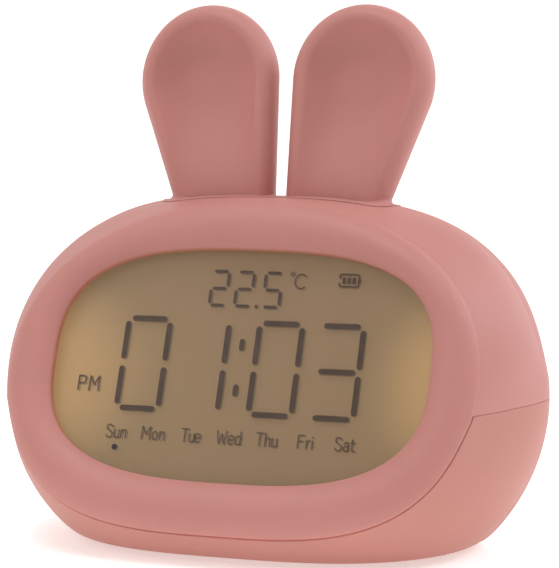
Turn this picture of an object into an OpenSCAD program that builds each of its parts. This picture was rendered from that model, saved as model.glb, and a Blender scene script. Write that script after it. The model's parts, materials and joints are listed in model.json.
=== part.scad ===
// Rabbit-eared digital alarm clock with a night light: two-part plastic body,
// press-to-snooze ears, leaning display ring, back buttons, electronics inside.
// Millimetres. +Z up, the display faces -Y, the origin is on the table below
// the middle of the clock.

/* [Ring and window] */
// Lean-back angle of the display ring
face_tilt = 22; // [20:0.5:24]
// Height of the window's middle above the table
window_z = 49.5; // [49:0.1:50]
// Half width of the window
window_a = 51.5; // [50:0.1:52]
// Half height of the window
window_b = 31.0; // [30:0.1:31.5]
// Height of the ring's crown above the window edge
crown_h = 3.4; // [2.5:0.1:4]
// Half width of the ring's outer edge
ring_a = 63.2; // [62.5:0.1:64]
// Reach of the ring's outer edge above its widest line
ring_up = 56.9; // [56:0.1:58]
// Reach of the ring's outer edge below its widest line
ring_down = 32.8; // [32:0.1:33.2]

/* [Body] */
// Half width of the body at its widest section
body_a = 73.8; // [72:0.1:75]
// Reach of the widest section above its middle
body_up = 45.4; // [44.4:0.1:46]
// Depth from the window's middle to the widest section
body_mid = 30.4; // [29:0.1:32]
// Depth from the window's middle to the end of the back's dome
body_back = 58; // [57:0.5:59]
// Wall thickness of the two shells
wall = 2.2; // [1.8:0.1:2.4]
// Height of the parting line above the table
seam_z = 40.4; // [39.5:0.1:41]

/* [Ears] */
// Lean-back angle of the ears
ear_tilt = 7.7; // [6:0.1:9]
// Half thickness of an ear and radius of its rim
ear_r = 6; // [5.5:0.1:6.2]
// Depth of the hollow in an ear's front
ear_dish = 2.4; // [1:0.1:2.6]
// Press travel of the ears
ear_travel = 0.8; // [0.6:0.1:0.9]

/* [Controls] */
// Radius of a back button
button_r = 4.5; // [4:0.1:4.8]
// How far a back button stands out
button_out = 1.0; // [0.8:0.1:1.2]
// Side-to-side travel of the alarm slider
slider_travel = 3; // [2:0.1:3]

/* [Hidden] */
y0 = -19.4;                  // Y of the window's middle
foot_h = 0.8;                // how far the feet stand out below the base
NU = 32; NL = 26; NT = 14;   // grid counts of the shells
M = NU + NL;
yb = y0 + 56;                // the flat middle of the back
w_end = (56 - body_mid)/(body_back - body_mid);
pc = 2.3;                    // roundness of the back's dome
zs = seam_z - foot_h;
ring_c = -11.53;             // widest line of the ring, below the window's middle
ring_h = 0.1;
mid_z = 45.3;
body_down = 69.4;
ear_y = 13.8;                // middle plane of the ears where they meet the flange
ear_z = 90.8;
pink = [0.80, 0.57, 0.54];
pink2 = [0.78, 0.54, 0.50];
green = [0.10, 0.36, 0.22];
steel = [0.75, 0.76, 0.78];

// ---------- shape functions ----------
function mix(a, b, w) = a + (b - a)*w;
function soft(z) = max(0.5*(z + sqrt(z*z + 4)) - 0.09, 0);
// point of one body section: a rounded outline with its own upper and lower halves
function sect(Y, Z, tau, a, bt, bb, nt, nb, k, k2, th) =
  let(c = cos(th), s = sin(th), n = s >= 0 ? nt : nb,
      r = pow(pow(abs(c), n) + pow(abs(s), n), -1/n), vv = r*s,
      v = (s >= 0 ? bt : bb)*vv)
  [r*c*a*(1 - k*vv - k2*pow(max(vv, 0), 2)), y0 + Y + v*sin(tau), foot_h + soft(Z + v*cos(tau))];
ring_y = -ring_h*cos(face_tilt) + ring_c*sin(face_tilt);
ring_z = window_z - foot_h + ring_h*sin(face_tilt) + ring_c*cos(face_tilt);
// section values along the depth: t 0 at the ring, 1 at the widest section, 2 at the back
function prm(t) = t <= 1 ?
  let(ga = 1 - pow(1 - t, 1.62), gt = 1 - pow(1 - t, 1.58), gb = 1 - pow(1 - t, 1.13))
  [mix(ring_y, body_mid, t), mix(ring_z, mid_z, t), mix(face_tilt + 0.8, 0, t),
   mix(ring_a, body_a, ga), mix(ring_up, body_up, gt) + 3.2*t*(1 - t), mix(ring_down, body_down, gb),
   mix(2.01, 3.38, pow(t, 2.2)), mix(3.21, 1.74, gb), mix(-0.179, 0.157, pow(t, 1.35)), 0.034*pow(t, 1.35)]
  : let(w = (t - 1)*w_end, c = pow(1 - pow(w, pc), 1/pc))
  [mix(body_mid, body_back, w), mix(mid_z, 45, w), 0, body_a*c, body_up*c, body_down*c,
   mix(3.38, 2.2, w), mix(1.74, 2.2, w), 0.157*(1 - w), 0.034*(1 - w)];
function surf(t, th) = let(p = prm(t)) sect(p[0], p[1], p[2], p[3], p[4], p[5], p[6], p[7], p[8], p[9], th);
// angle at which a section crosses the parting plane
function seam_th(t) = let(p = prm(t), q = (zs - p[1])/cos(p[2]), vv = q/(q >= 0 ? p[4] : p[5]),
      n = q >= 0 ? p[6] : p[7]) atan2(vv, pow(1 - pow(abs(vv), n), 1/n));
function up_th(t, j) = let(s = seam_th(t)) s + j/NU*(180 - 2*s);
function lo_th(t, j) = let(s = seam_th(t)) 180 - s + j/NL*(180 + 2*s);
// the same surface moved inwards by d
function inn(t, th, d) = let(e = 0.015, t1 = min(t + e, 2), t2 = max(t - e, 0),
      a = surf(t, th + 1.5) - surf(t, th - 1.5), b = surf(t1, th) - surf(t2, th),
      n0 = cross(a, b), n = n0/norm(n0), p = surf(t, th)) p + d*n*(n*(p - [0, y0 + 25, 45]) > 0 ? -1 : 1);
function setz(p, z) = [p[0], p[1], z];
// local display frame: x right, y up along the face, z out of the face
function face(x, y, z) = [x, y0 + y*sin(face_tilt) - z*cos(face_tilt), window_z + y*cos(face_tilt) + z*sin(face_tilt)];
function unface(p) = let(y = p[1] - y0, z = p[2] - window_z)
  [p[0], y*sin(face_tilt) + z*cos(face_tilt), -y*cos(face_tilt) + z*sin(face_tilt)];
// window outline in the direction of angle al
function win(al, g) = let(r = pow(pow(abs(cos(al))/(window_a + g), 2.9) + pow(abs(sin(al))/(window_b + g), 2.9), -1/2.9))
  [r*cos(al), 0.4 + r*sin(al)];
function ring_th(j) = let(jj = j % M) jj < NU ? up_th(0, jj) : lo_th(0, jj - NU);
// ring point: q 0 at the window edge, 1 at the outer edge, h height off the straight line between them
function ring_pt(j, q, h) = let(k = unface(surf(0, ring_th(j))), al = atan2(k[1] - 0.4, k[0]), w = win(al, 0))
  face(mix(w[0], k[0], q), mix(w[1], k[1], q), q*k[2] + h);
function bead(q) = crown_h*pow(4*q*(1 - q), 0.75);
bead_q = [0.015, 0.07, 0.16, 0.28, 0.42, 0.57, 0.71, 0.83, 0.92, 0.975];
RA = 3 + len(bead_q);
back_qh = [[0.80, -0.6], [0.62, 0.9], [0.45, 0.9], [0.36, -1.6]];
RB = 1 + len(back_qh);
function grid(r, c, f) = [for (i = [0:r-2], j = [0:c-2]) each [[f + i*c + j, f + (i+1)*c + j, f + (i+1)*c + j+1], [f + i*c + j, f + (i+1)*c + j+1, f + i*c + j+1]]];
// two triangles of a four-sided patch
function quad(a, b, c, d) = [[a, b, c], [a, c, d]];

// ---------- shells ----------
module front_shell() {
  tt = [for (i = [0:NT]) 2*i/NT];
  A = [for (r = [0:RA-1], j = [0:M-1])
        r == 0 ? ring_pt(j, 0, -1.6) : r == 1 ? ring_pt(j, 0, 0) : r == RA-1 ? surf(0, ring_th(j))
        : ring_pt(j, bead_q[r-2], bead(bead_q[r-2]))];
  B = [for (r = [0:RB-1], j = [0:M-1]) r == 0 ? inn(0, ring_th(j), wall) : ring_pt(j, back_qh[r-1][0], back_qh[r-1][1])];
  D = [for (i = [1:NT], j = [0:NU]) surf(tt[i], up_th(tt[i], j))];
  E = [for (i = [1:NT], j = [0:NU]) let(p = inn(tt[i], up_th(tt[i], j), wall), o = surf(tt[i], up_th(tt[i], j)))
        let(q = i == NT ? [p[0], yb - wall, p[2]] : p) (j == 0 || j == NU) ? setz(q, o[2]) : q];
  oB = RA*M; oD = oB + RB*M; oE = oD + NT*(NU+1); c0 = oE + NT*(NU+1);
  pts = concat(A, B, D, E, [[0, yb, seam_z], [0, yb - wall, seam_z]]);
  function iA(r, j) = r*M + j % M;
  function iB(r, j) = r == RB ? iA(0, j) : oB + r*M + j % M;
  function iD(i, j) = i == 0 ? iA(RA-1, j) : oD + (i-1)*(NU+1) + j;
  function iE(i, j) = i == 0 ? iB(0, j) : oE + (i-1)*(NU+1) + j;
  fc = concat(
    [for (r = [0:RA-2], j = [0:M-1]) each quad(iA(r, j), iA(r, j+1), iA(r+1, j+1), iA(r+1, j))],
    [for (r = [0:RB-1], j = [0:M-1]) each quad(iB(r, j), iB(r, j+1), iB(r+1, j+1), iB(r+1, j))],
    [for (j = [NU:M-1]) each quad(iA(RA-1, j), iA(RA-1, j+1), iB(0, j+1), iB(0, j))],
    [for (i = [0:NT-1], j = [0:NU-1]) each quad(iD(i, j), iD(i, j+1), iD(i+1, j+1), iD(i+1, j))],
    [for (i = [0:NT-1], j = [0:NU-1]) each quad(iE(i, j+1), iE(i, j), iE(i+1, j), iE(i+1, j+1))],
    [for (j = [0:NU-1]) [iD(NT, j), iD(NT, j+1), c0]],
    [for (j = [0:NU-1]) [iE(NT, j+1), iE(NT, j), c0+1]],
    [for (i = [0:NT-1]) each quad(iD(i, 0), iD(i+1, 0), iE(i+1, 0), iE(i, 0))],
    [for (i = [0:NT-1]) each quad(iD(i+1, NU), iD(i, NU), iE(i, NU), iE(i+1, NU))],
    quad(iD(NT, 0), c0, c0+1, iE(NT, 0)), quad(c0, iD(NT, NU), iE(NT, NU), c0+1));
  polyhedron(pts, fc, convexity = 10);
}

module lower_shell() {
  tt = [for (i = [0:NT]) mix(0.008, 2, i/NT)];
  zt = seam_z - 0.25;
  D = [for (i = [0:NT], j = [0:NL]) let(p = surf(tt[i], lo_th(tt[i], j))) (j == 0 || j == NL) ? setz(p, zt) : p];
  E = [for (i = [0:NT], j = [0:NL]) let(p = inn(tt[i], lo_th(tt[i], j), wall))
        let(q = i == NT ? [p[0], yb - wall, p[2]] : p) (j == 0 || j == NL) ? setz(q, zt) : q];
  oE = (NT+1)*(NL+1); c0 = 2*oE;
  pts = concat(D, E, [[0, yb, zt], [0, yb - wall, zt]]);
  function iD(i, j) = i*(NL+1) + j;
  function iE(i, j) = oE + i*(NL+1) + j;
  fc = concat(
    [for (i = [0:NT-1], j = [0:NL-1]) each quad(iD(i, j), iD(i, j+1), iD(i+1, j+1), iD(i+1, j))],
    [for (i = [0:NT-1], j = [0:NL-1]) each quad(iE(i, j+1), iE(i, j), iE(i+1, j), iE(i+1, j+1))],
    [for (j = [0:NL-1]) each quad(iD(0, j+1), iD(0, j), iE(0, j), iE(0, j+1))],
    [for (j = [0:NL-1]) [iD(NT, j), iD(NT, j+1), c0]],
    [for (j = [0:NL-1]) [iE(NT, j+1), iE(NT, j), c0+1]],
    [for (i = [0:NT-1]) each quad(iD(i, 0), iD(i+1, 0), iE(i+1, 0), iE(i, 0))],
    [for (i = [0:NT-1]) each quad(iD(i+1, NL), iD(i, NL), iE(i, NL), iE(i+1, NL))],
    quad(iD(NT, 0), c0, c0+1, iE(NT, 0)), quad(c0, iD(NT, NL), iE(NT, NL), c0+1));
  polyhedron(pts, fc, convexity = 10);
}

module cyl_y(r, y1, y2, x, z, fn = 48) { translate([x, y1, z]) rotate([-90, 0, 0]) cylinder(r = r, h = y2 - y1, $fn = fn); }
module on_face() { translate([0, y0, window_z]) rotate([90 - face_tilt, 0, 0]) children(); }
module block(x, y, z, sx, sy, sz) { translate([x - sx/2, y - sy/2, z]) cube([sx, sy, sz]); }
// rounded slab: two ends and a middle
module slot_xy(l, w, h, fn = 64) {
  union() {
    translate([-(l - w)/2, -w/2, 0]) cube([l - w, w, h]);
    for (s = [-1, 1]) translate([s*(l - w)/2, 0, 0]) cylinder(d = w, h = h, $fn = fn);
  }
}

post = [[44, 10], [34, 27]];           // screw posts, left and right alike
post_top = [83.6, 74.2];                   // where each post runs into the upper shell's roof
btn_x = [-22.5, -7.5, 7.5, 22.5];
btn_z = 54;
slider_z = 62.5;
usb_x = -17; usb_z = 25;
spk_x = 10; spk_z = 26;

module front_housing() color(pink) difference() {
  union() {
    front_shell();
    for (s = [-1, 1], i = [0, 1]) translate([s*post[i][0], post[i][1], seam_z + 0.5])
      cylinder(r = 3.6, h = post_top[i] - seam_z - 0.5, $fn = 32);
    for (s = [-1, 1]) translate([s*36.6, ear_y, 75.8]) cylinder(r = 2.6, h = 11.1, $fn = 32);
    // bosses behind the ring for the display frame
    for (s = [-1, 1], v = [-12, 12]) on_face() translate([s*57, v, -9.6]) cylinder(r = 2.2, h = 10.6, $fn = 32);
    for (s = [-1, 1]) cyl_y(2.2, yb - 9, yb - 1.5, s*15, 49, 32);
  }
  // ear opening
  translate([0, ear_y, 78]) slot_xy(67.2, 16.2, 30);
  for (s = [-1, 1], i = [0, 1]) translate([s*post[i][0], post[i][1], seam_z]) cylinder(r = 1.2, h = 16, $fn = 24);
  for (s = [-1, 1]) translate([s*36.6, ear_y, 75]) cylinder(r = 0.9, h = 8, $fn = 24);
  for (s = [-1, 1], v = [-12, 12]) on_face() translate([s*57, v, -10]) cylinder(r = 0.8, h = 7, $fn = 24);
  for (s = [-1, 1]) cyl_y(0.8, yb - 10, yb - 3.2, s*15, 49, 24);
  for (x = btn_x) cyl_y(button_r + 0.15, yb - wall - 1, yb + 1, x, btn_z);
  translate([-(4.6 + slider_travel)/2, yb - wall - 1, slider_z - 1.8]) cube([4.6 + slider_travel, wall + 2, 3.6]);
}

module lower_housing() color(pink2) difference() {
  union() {
    lower_shell();
    for (s = [-1, 1], i = [0, 1]) translate([s*post[i][0], post[i][1], 2])
      cylinder(r = 4.6, h = seam_z + 0.2 - 2, $fn = 40);
    for (x = [usb_x - 9.5, usb_x + 9.5]) translate([x, 20, 2]) cylinder(r = 2.2, h = usb_z - 3.05 - 2, $fn = 32);
    // speaker seat
    difference() { cyl_y(12, yb - 5.2, yb - 1.5, spk_x, spk_z, 64); cyl_y(10.2, yb - 6, yb, spk_x, spk_z, 64); }
    // battery tray walls
    for (s = [-1, 1]) translate([s*27.6 - 0.8, -19, 2]) cube([1.6, 34, 5]);
  }
  for (s = [-1, 1], i = [0, 1]) {
    translate([s*post[i][0], post[i][1], -1]) cylinder(r = 3.2, h = seam_z - 6, $fn = 32);
    translate([s*post[i][0], post[i][1], 30]) cylinder(r = 1.65, h = 20, $fn = 24);
  }
  for (x = [usb_x - 9.5, usb_x + 9.5]) translate([x, 20, 12]) cylinder(r = 0.8, h = 30, $fn = 24);
  // charging inlet
  translate([usb_x, yb + 1, usb_z]) rotate([90, 0, 0]) slot_xy(9.3, 3.6, wall + 1.6, 48);
  // sound holes
  cyl_y(0.8, yb - wall - 1, yb + 1, spk_x, spk_z, 24);
  for (a = [0:60:300]) cyl_y(0.8, yb - wall - 1, yb + 1, spk_x + 3.4*cos(a), spk_z + 3.4*sin(a), 24);
  for (a = [15:30:345]) cyl_y(0.8, yb - wall - 1, yb + 1, spk_x + 6.8*cos(a), spk_z + 6.8*sin(a), 24);
  // foot recesses
  for (s = [-1, 1], y = [-9, 20]) translate([s*30, y, -1]) cylinder(r = 4.6, h = 1 + foot_h + 0.8, $fn = 48);
}

// ---------- ears ----------
// outline that the rim runs along: [x, v, outward x, outward v, base flag]
function ear_path() = concat(
  [[25.0, -4, 1.07, 0, 1]],
  [for (i = [1:4]) let(w = i/5) [mix(23.6, 34.3, w), mix(-2, 26.2, w), 0.935, -0.355, 0]],
  [for (i = [0:22]) let(p = -21.9 + i*(180 + 21.9)/22, n = [cos(p)/13.5, sin(p)/14.25]) [21.8 + 13.5*cos(p), 31.5 + 14.25*sin(p), n[0]/norm(n), n[1]/norm(n), 0]],
  [for (i = [1:3]) let(w = i/4) [mix(8.3, 7.9, w), mix(31.5, 0, w), -1, 0, 0]],
  [for (i = [0:3]) [mix(7.9, 25.0, i/4), -4, mix(-1, 1.07, i/4), 0, 1]]);
function ear3(x, v, h, s) = [s*x, ear_y + v*sin(ear_tilt) - h*cos(ear_tilt), ear_z + v*cos(ear_tilt) + h*sin(ear_tilt)];
module ear(s) {
  P = ear_path(); N = len(P);
  cx = 20.5; cv = 24;
  rho = [0.3, 0.55, 0.75, 0.9, 0.97];
  psi = [90, 65, 42, 20, 0, -25, -50, -75.5];
  rows = concat(
    [for (q = rho) [for (p = P) ear3(mix(cx, p[0], q), mix(cv, p[1], q), ear_r - ear_dish*(1 - pow(q, 3)), s)]],
    [for (a = psi) [for (p = P) ear3(p[0] + ear_r*cos(a)*p[2], p[1] + ear_r*cos(a)*p[3], ear_r*sin(a), s)]],
    [for (g = [[1.5, -4.2, 1.9], [0.3, -4.2, 2.9], [0.3, 1.2, 2.9]]) [for (p = P) ear3(p[0] + g[0]*p[2], p[1] + g[0]*p[3] + g[2]*p[4], g[1], s)]]);
  R = len(rows);
  pts = concat([for (r = rows) each r], [ear3(cx, cv, ear_r - ear_dish, s), ear3(cx, cv, 1.2, s)]);
  fc = concat(
    [for (j = [0:N-1]) [R*N, j, (j+1) % N]],
    [for (i = [0:R-2], j = [0:N-1]) each quad(i*N + j, (i+1)*N + j, (i+1)*N + (j+1) % N, i*N + (j+1) % N)],
    [for (j = [0:N-1]) [R*N + 1, (R-1)*N + (j+1) % N, (R-1)*N + j]]);
  polyhedron(pts, s > 0 ? [for (f = fc) [f[2], f[1], f[0]]] : fc, convexity = 10);
}

// block under the dome's own surface, raised by d, down to height z
module dome_block(d, z) {
  n = 14; m = 24;
  T = [for (i = [0:n], j = [0:m]) surf(mix(0.28, 1.52, i/n), mix(53, 127, j/m)) + [0, 0, d]];
  w = m + 1; b = (n+1)*w;
  polyhedron(concat(T, [for (p = T) setz(p, z)]), concat(
    [for (i = [0:n-1], j = [0:m-1]) each quad(i*w + j, i*w + j+1, (i+1)*w + j+1, (i+1)*w + j)],
    [for (i = [0:n-1], j = [0:m-1]) each quad(b + (i+1)*w + j, b + (i+1)*w + j+1, b + i*w + j+1, b + i*w + j)],
    [for (i = [0:n-1]) each quad(i*w, (i+1)*w, b + (i+1)*w, b + i*w)],
    [for (i = [0:n-1]) each quad((i+1)*w + m, i*w + m, b + i*w + m, b + (i+1)*w + m)],
    [for (j = [0:m-1]) each quad(j+1, j, b + j, b + j+1)],
    [for (j = [0:m-1]) each quad(n*w + j, n*w + j+1, b + n*w + j+1, b + n*w + j)]), convexity = 4);
}
module ear_key() color(pink) union() {
  ear(1); ear(-1);
  difference() {
    intersection() {
      translate([0, ear_y, 84]) slot_xy(66.6, 15.6, 20);
      dome_block(0.12, 80);
    }
    translate([0, ear_y, 83]) slot_xy(60, 9, 3);
  }
}
module ear_guides() color([0.9, 0.9, 0.88]) {
  for (s = [-1, 1]) translate([s*20, ear_y, 73.5]) cylinder(r = 3, h = 12.5, $fn = 48);
  translate([0, ear_y, 82.2]) cylinder(r = 2.4, h = 3.8, $fn = 32);
}

module ear_back(s) {
  P = ear_path(); N = len(P);
  g = 1.35;
  // the panel follows the ear's own back opening
  rows = [for (h = [-4.25, -5.85]) [for (p = P) ear3(p[0] + g*p[2], p[1] + g*p[3] + 5.6*p[4], h, s)]];
  pts = concat(rows[0], rows[1], [ear3(20.5, 24, -4.25, s), ear3(20.5, 24, -5.85, s)]);
  fc = concat([for (j = [0:N-1]) [2*N, j, (j+1) % N]],
    [for (j = [0:N-1]) each quad(j, N + j, N + (j+1) % N, (j+1) % N)],
    [for (j = [0:N-1]) [2*N + 1, N + (j+1) % N, N + j]]);
  polyhedron(pts, s > 0 ? [for (f = fc) [f[2], f[1], f[0]]] : fc, convexity = 4);
}
module ear_backs() color(pink2) { ear_back(1); ear_back(-1); }

// ---------- display ----------
// window-shaped sheet: outline grown by g, from local height z up by h
module sheet(g, z, h, n = 96) { on_face() translate([0, 0, z]) linear_extrude(h) polygon([for (i = [0:n-1]) win(i*360/n, g)]); }
// eight-sided panel that fits inside the ring
module oct(a, b, ca, cb, z, h) { on_face() translate([0, 0, z]) linear_extrude(h)
  polygon([[a, -b+cb], [a, b-cb], [a-ca, b], [-a+ca, b], [-a, b-cb], [-a, -b+cb], [-a+ca, -b], [a-ca, -b]]); }

module display_lens() color([0.62, 0.53, 0.42, 0.5]) sheet(2.4, -3.15, 1.5);
module lcd_glass() color([0.56, 0.48, 0.38]) oct(50.5, 32, 13, 11, -6.2, 2.7);

// bar with pointed ends
module bar(x, y, l, w, rot = 0) { translate([x, y]) rotate(rot) polygon([[-l/2, 0], [-l/2 + w/2, w/2], [l/2 - w/2, w/2], [l/2, 0], [l/2 - w/2, -w/2], [-l/2 + w/2, -w/2]]); }
// seven-segment digit: middle x, y, half width, half height, stroke, list of lit bars
module digit(x, y, a, b, w, on) {
  pos = [[0, b, 0], [a, b/2, 90], [a, -b/2, 90], [0, -b, 0], [-a, -b/2, 90], [-a, b/2, 90], [0, 0, 0]];
  for (k = on) bar(x + pos[k][0], y + pos[k][1], pos[k][2] == 0 ? 2*a - 1.0*w : b - 0.7*w, w, pos[k][2]);
}
module lcd_segments() color([0.25, 0.2, 0.18]) on_face() translate([0, 0, -3.45]) linear_extrude(0.12) union() {
  digit(-24.6, 0, 5.6, 12.3, 1.6, [0, 1, 2, 3, 4, 5]);
  digit(-9.2, 0, 5.6, 12.3, 1.6, [1, 2]);
  bar(0.4, 5.9, 2.8, 1.6, 90); bar(0.4, -5.9, 2.8, 1.6, 90);
  digit(10.2, 0, 5.6, 12.3, 1.6, [0, 1, 2, 3, 4, 5]);
  digit(25.6, 0, 5.6, 12.3, 1.6, [0, 1, 2, 3, 6]);
  digit(-4.2, 22.5, 2.5, 4.6, 1.0, [0, 1, 3, 4, 6]);
  digit(2.6, 22.5, 2.5, 4.6, 1.0, [0, 1, 3, 4, 6]);
  digit(9.8, 22.5, 2.5, 4.6, 1.0, [0, 5, 6, 2, 3]);
  translate([6.2, 17.9]) circle(r = 0.6, $fn = 16);
  for (i = [0:2]) bar(26 + 1.5*i, 23, 2.2, 1.0, 90);
  translate([-30, -26.5]) circle(r = 0.75, $fn = 16);
  for (i = [0:6]) bar(-29.5 + 9.4*i, -21, 5, 0.9);
  bar(-37.6, -5, 4.4, 0.9);
}

module lcd_frame() color([0.93, 0.93, 0.9]) difference() {
  union() {
    oct(53.2, 34.0, 14.5, 12.5, -11.2, 8.0);
    for (s = [-1, 1], v = [-12, 12]) on_face() block(s*54.9, v, -11.2, 8.6, 6, 1.5);
  }
  oct(50.8, 32.3, 13.6, 11.6, -7, 10);
  oct(46.5, 28.4, 15, 13, -12, 8);
  // pockets for the guide, the sheets and the lamps
  oct(49.6, 29.6, 14.2, 12.2, -10.8, 4.3);
  for (s = [-1, 1]) on_face() block(s*50.8, 0, -10.8, 2.4, 36, 4.3);
  on_face() block(0, -30.8, -12, 62, 3.2, 8);
  for (s = [-1, 1], u = [-1, 1]) on_face() translate([s*46.5, u*24.8, -13]) cylinder(r = 0.8, h = 5, $fn = 24);
  for (s = [-1, 1], v = [-12, 12]) on_face() translate([s*57, v, -13]) cylinder(r = 1.1, h = 5, $fn = 24);
}
module diffuser_sheet() color([0.97, 0.95, 0.9]) oct(49.2, 29.2, 14, 12, -6.75, 0.35);
module light_guide() color([0.92, 0.9, 0.8, 0.6]) oct(49.2, 29.2, 14, 12, -9.9, 3.0);
module reflector_sheet() color("white") oct(49.2, 29.2, 14, 12, -10.35, 0.3);
module led_strips() color(green) for (s = [-1, 1]) on_face() block(s*51.2, 0, -10.3, 0.8, 34, 3.4);
module warm_leds() color([1, 0.85, 0.5]) for (s = [-1, 1], y = [-12, 0, 12]) on_face() block(s*50.15, y, -9.6, 1.2, 3, 2.4);
module zebra_strip() color([0.35, 0.35, 0.38]) on_face() block(0, -30.8, -11.55, 60, 2.2, 5.3);

module main_board() color(green) difference() {
  on_face() block(0, 0, -13.2, 98, 62, 1.6);
  for (s = [-1, 1], u = [-1, 1]) on_face() translate([s*46.5, u*24.8, -15]) cylinder(r = 1.3, h = 5, $fn = 24);
  // corners cut away
  for (s = [-1, 1], u = [-1, 1]) on_face() translate([s*49, u*31, -14]) rotate(45) cube([8, 14, 8], center = true);
}
module chip_blob() color([0.08, 0.08, 0.08]) on_face() translate([-8, 4, -13.2]) rotate([180, 0, 0])
  rotate_extrude($fn = 48) polygon([[0, 0], [7, 0], [6.4, 0.7], [4.8, 1.3], [2.6, 1.6], [0, 1.7]]);
module board_parts() color([0.3, 0.3, 0.32]) {
  on_face() block(14, 8, -16.4, 3.2, 8.2, 3.2);
  on_face() block(20, -12, -17.2, 8, 5, 4);
  on_face() block(-28, -12, -17.2, 10, 5, 4);
  on_face() block(30, 12, -15.2, 5, 4, 2);
  for (i = [0:4]) on_face() block(-24 + 4.5*i, 16, -14, 2, 1.2, 0.8);
  on_face() translate([26, 2, -19.4]) cylinder(r = 2.5, h = 6.2, $fn = 32);
  on_face() translate([34, 2, -19.4]) cylinder(r = 2.5, h = 6.2, $fn = 32);
}

// ---------- ear mechanism ----------
module ear_carrier() color([0.9, 0.9, 0.88]) difference() {
  union() {
    translate([-39.6, ear_y - 8, 73.8]) cube([79.2, 16, 2]);
    for (s = [-1, 1]) translate([s*20, ear_y, 73.8]) cylinder(r = 4.6, h = 5, $fn = 48);
  }
  for (s = [-1, 1]) translate([s*20, ear_y, 70]) cylinder(r = 3.08, h = 14, $fn = 48);
  for (s = [-1, 1]) translate([s*36.6, ear_y, 70]) cylinder(r = 1.3, h = 14, $fn = 24);
}
// coil around a guide post: ring k of the wire's centre line
module coil(x, z1, z2, R, r, turns, n = 14, m = 6) {
  K = turns*n;
  pts = [for (k = [0:K], i = [0:m-1]) let(a = 360*k/n, z = mix(z1 + r, z2 - r, k/K), q = 360*i/m)
    [x + (R + r*cos(q))*cos(a), ear_y + (R + r*cos(q))*sin(a), z + r*sin(q)]];
  fc = concat([[for (i = [0:m-1]) i]], [[for (i = [0:m-1]) K*m + m-1-i]],
    [for (k = [0:K-1], i = [0:m-1]) each quad(k*m + i, (k+1)*m + i, (k+1)*m + (i+1) % m, k*m + (i+1) % m)]);
  polyhedron(pts, [for (f = fc) [for (i = [len(f)-1:-1:0]) f[i]]], convexity = 8);
}
module ear_springs() color(steel) for (s = [-1, 1]) coil(s*20, 78.9, 85.9, 3.75, 0.3, 5);
module ear_stop_screws() color(steel) for (s = [-1, 1]) union() {
  translate([s*20, ear_y, 72.5]) cylinder(r = 4.4, h = 1, $fn = 40);
  translate([s*20, ear_y, 71.3]) cylinder(r = 2.4, h = 1.3, $fn = 40);
}
module ear_board() color(green) block(0, ear_y, 75.8, 12, 12, 1.2);
module ear_switch() color([0.15, 0.15, 0.16]) difference() {
  block(0, ear_y, 77, 6, 6, 3.8);
  translate([0, ear_y, 78.4]) cylinder(r = 1.85, h = 4, $fn = 32);
}
module ear_plunger() color([0.85, 0.85, 0.8]) translate([0, ear_y, 79.6]) cylinder(r = 1.75, h = 2.6, $fn = 32);

// ---------- back controls ----------
module button_board() color(green) difference() {
  translate([-29, yb - 10.6, 46.4]) cube([58, 1.6, 19.6]);
  for (s = [-1, 1]) cyl_y(1.1, yb - 12, yb - 8, s*15, 49, 24);
}
module button_switches() color([0.15, 0.15, 0.16]) for (x = btn_x) difference() {
  translate([x - 3, yb - 9, btn_z - 3]) cube([6, 3.4, 6]);
  cyl_y(1.85, yb - 7.9, yb - 5, x, btn_z, 32);
}
module plunger(i) color([0.85, 0.85, 0.8]) cyl_y(1.75, yb - 7.2, yb - 4.8, btn_x[i], btn_z, 32);
module button(i) color(pink) union() {
  cyl_y(button_r, yb - wall - 0.4, yb + button_out, btn_x[i], btn_z, 64);
  cyl_y(button_r + 1, yb - wall - 1.1, yb - wall - 0.2, btn_x[i], btn_z, 48);
  cyl_y(1.4, yb - 4.8, yb - wall - 1, btn_x[i], btn_z, 32);
}
module set_button() button(0);
module alarm_button() button(1);
module up_button() button(2);
module down_button() button(3);
module set_plunger() plunger(0);
module alarm_plunger() plunger(1);
module up_plunger() plunger(2);
module down_plunger() plunger(3);
module slide_switch() color(steel) difference() {
  translate([-5.5, yb - 9, slider_z - 2.2]) cube([11, 4, 4.4]);
  translate([-3.6, yb - 6.6, slider_z - 1.2]) cube([7.2, 3, 2.4]);
}
module alarm_slider() color([0.95, 0.93, 0.9]) translate([-slider_travel/2, 0, slider_z]) union() {
  translate([-2, yb - 2.9, -1.55]) cube([4, 3.6, 3.1]);
  translate([-1, yb - 6.2, -0.9]) cube([2, 3.4, 1.8]);
  translate([-5.2, yb - 3.2, -2.2]) cube([10.4, 0.7, 4.4]);
}

// ---------- power and sound ----------
module usb_socket() color(steel) translate([usb_x, yb - 0.5, usb_z]) rotate([90, 0, 0]) union() {
  difference() {
    slot_xy(8.94, 3.26, 7.4, 48);
    translate([0, 0, -1]) slot_xy(8.34, 2.66, 7.6, 48);
  }
  translate([-3.3, -0.35, 0.8]) cube([6.6, 0.7, 6.2]);
}
module power_board() color(green) difference() {
  translate([usb_x - 11, 15, usb_z - 1.63 - 1.4]) cube([22, yb - 2.6 - 15, 1.4]);
  for (x = [usb_x - 9.5, usb_x + 9.5]) translate([x, 20, 10]) cylinder(r = 1.1, h = 30, $fn = 24);
}
module battery_cell() color([0.75, 0.76, 0.8]) union() {
  translate([-26, -18, 4.2]) cube([52, 32, 6.4]);
  translate([-13, 14, 5.6]) cube([26, 2.2, 2.6]);
}
module battery_pad() color([0.2, 0.2, 0.22]) translate([-24, -16, 3.12]) cube([48, 28, 1.06]);
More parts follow.
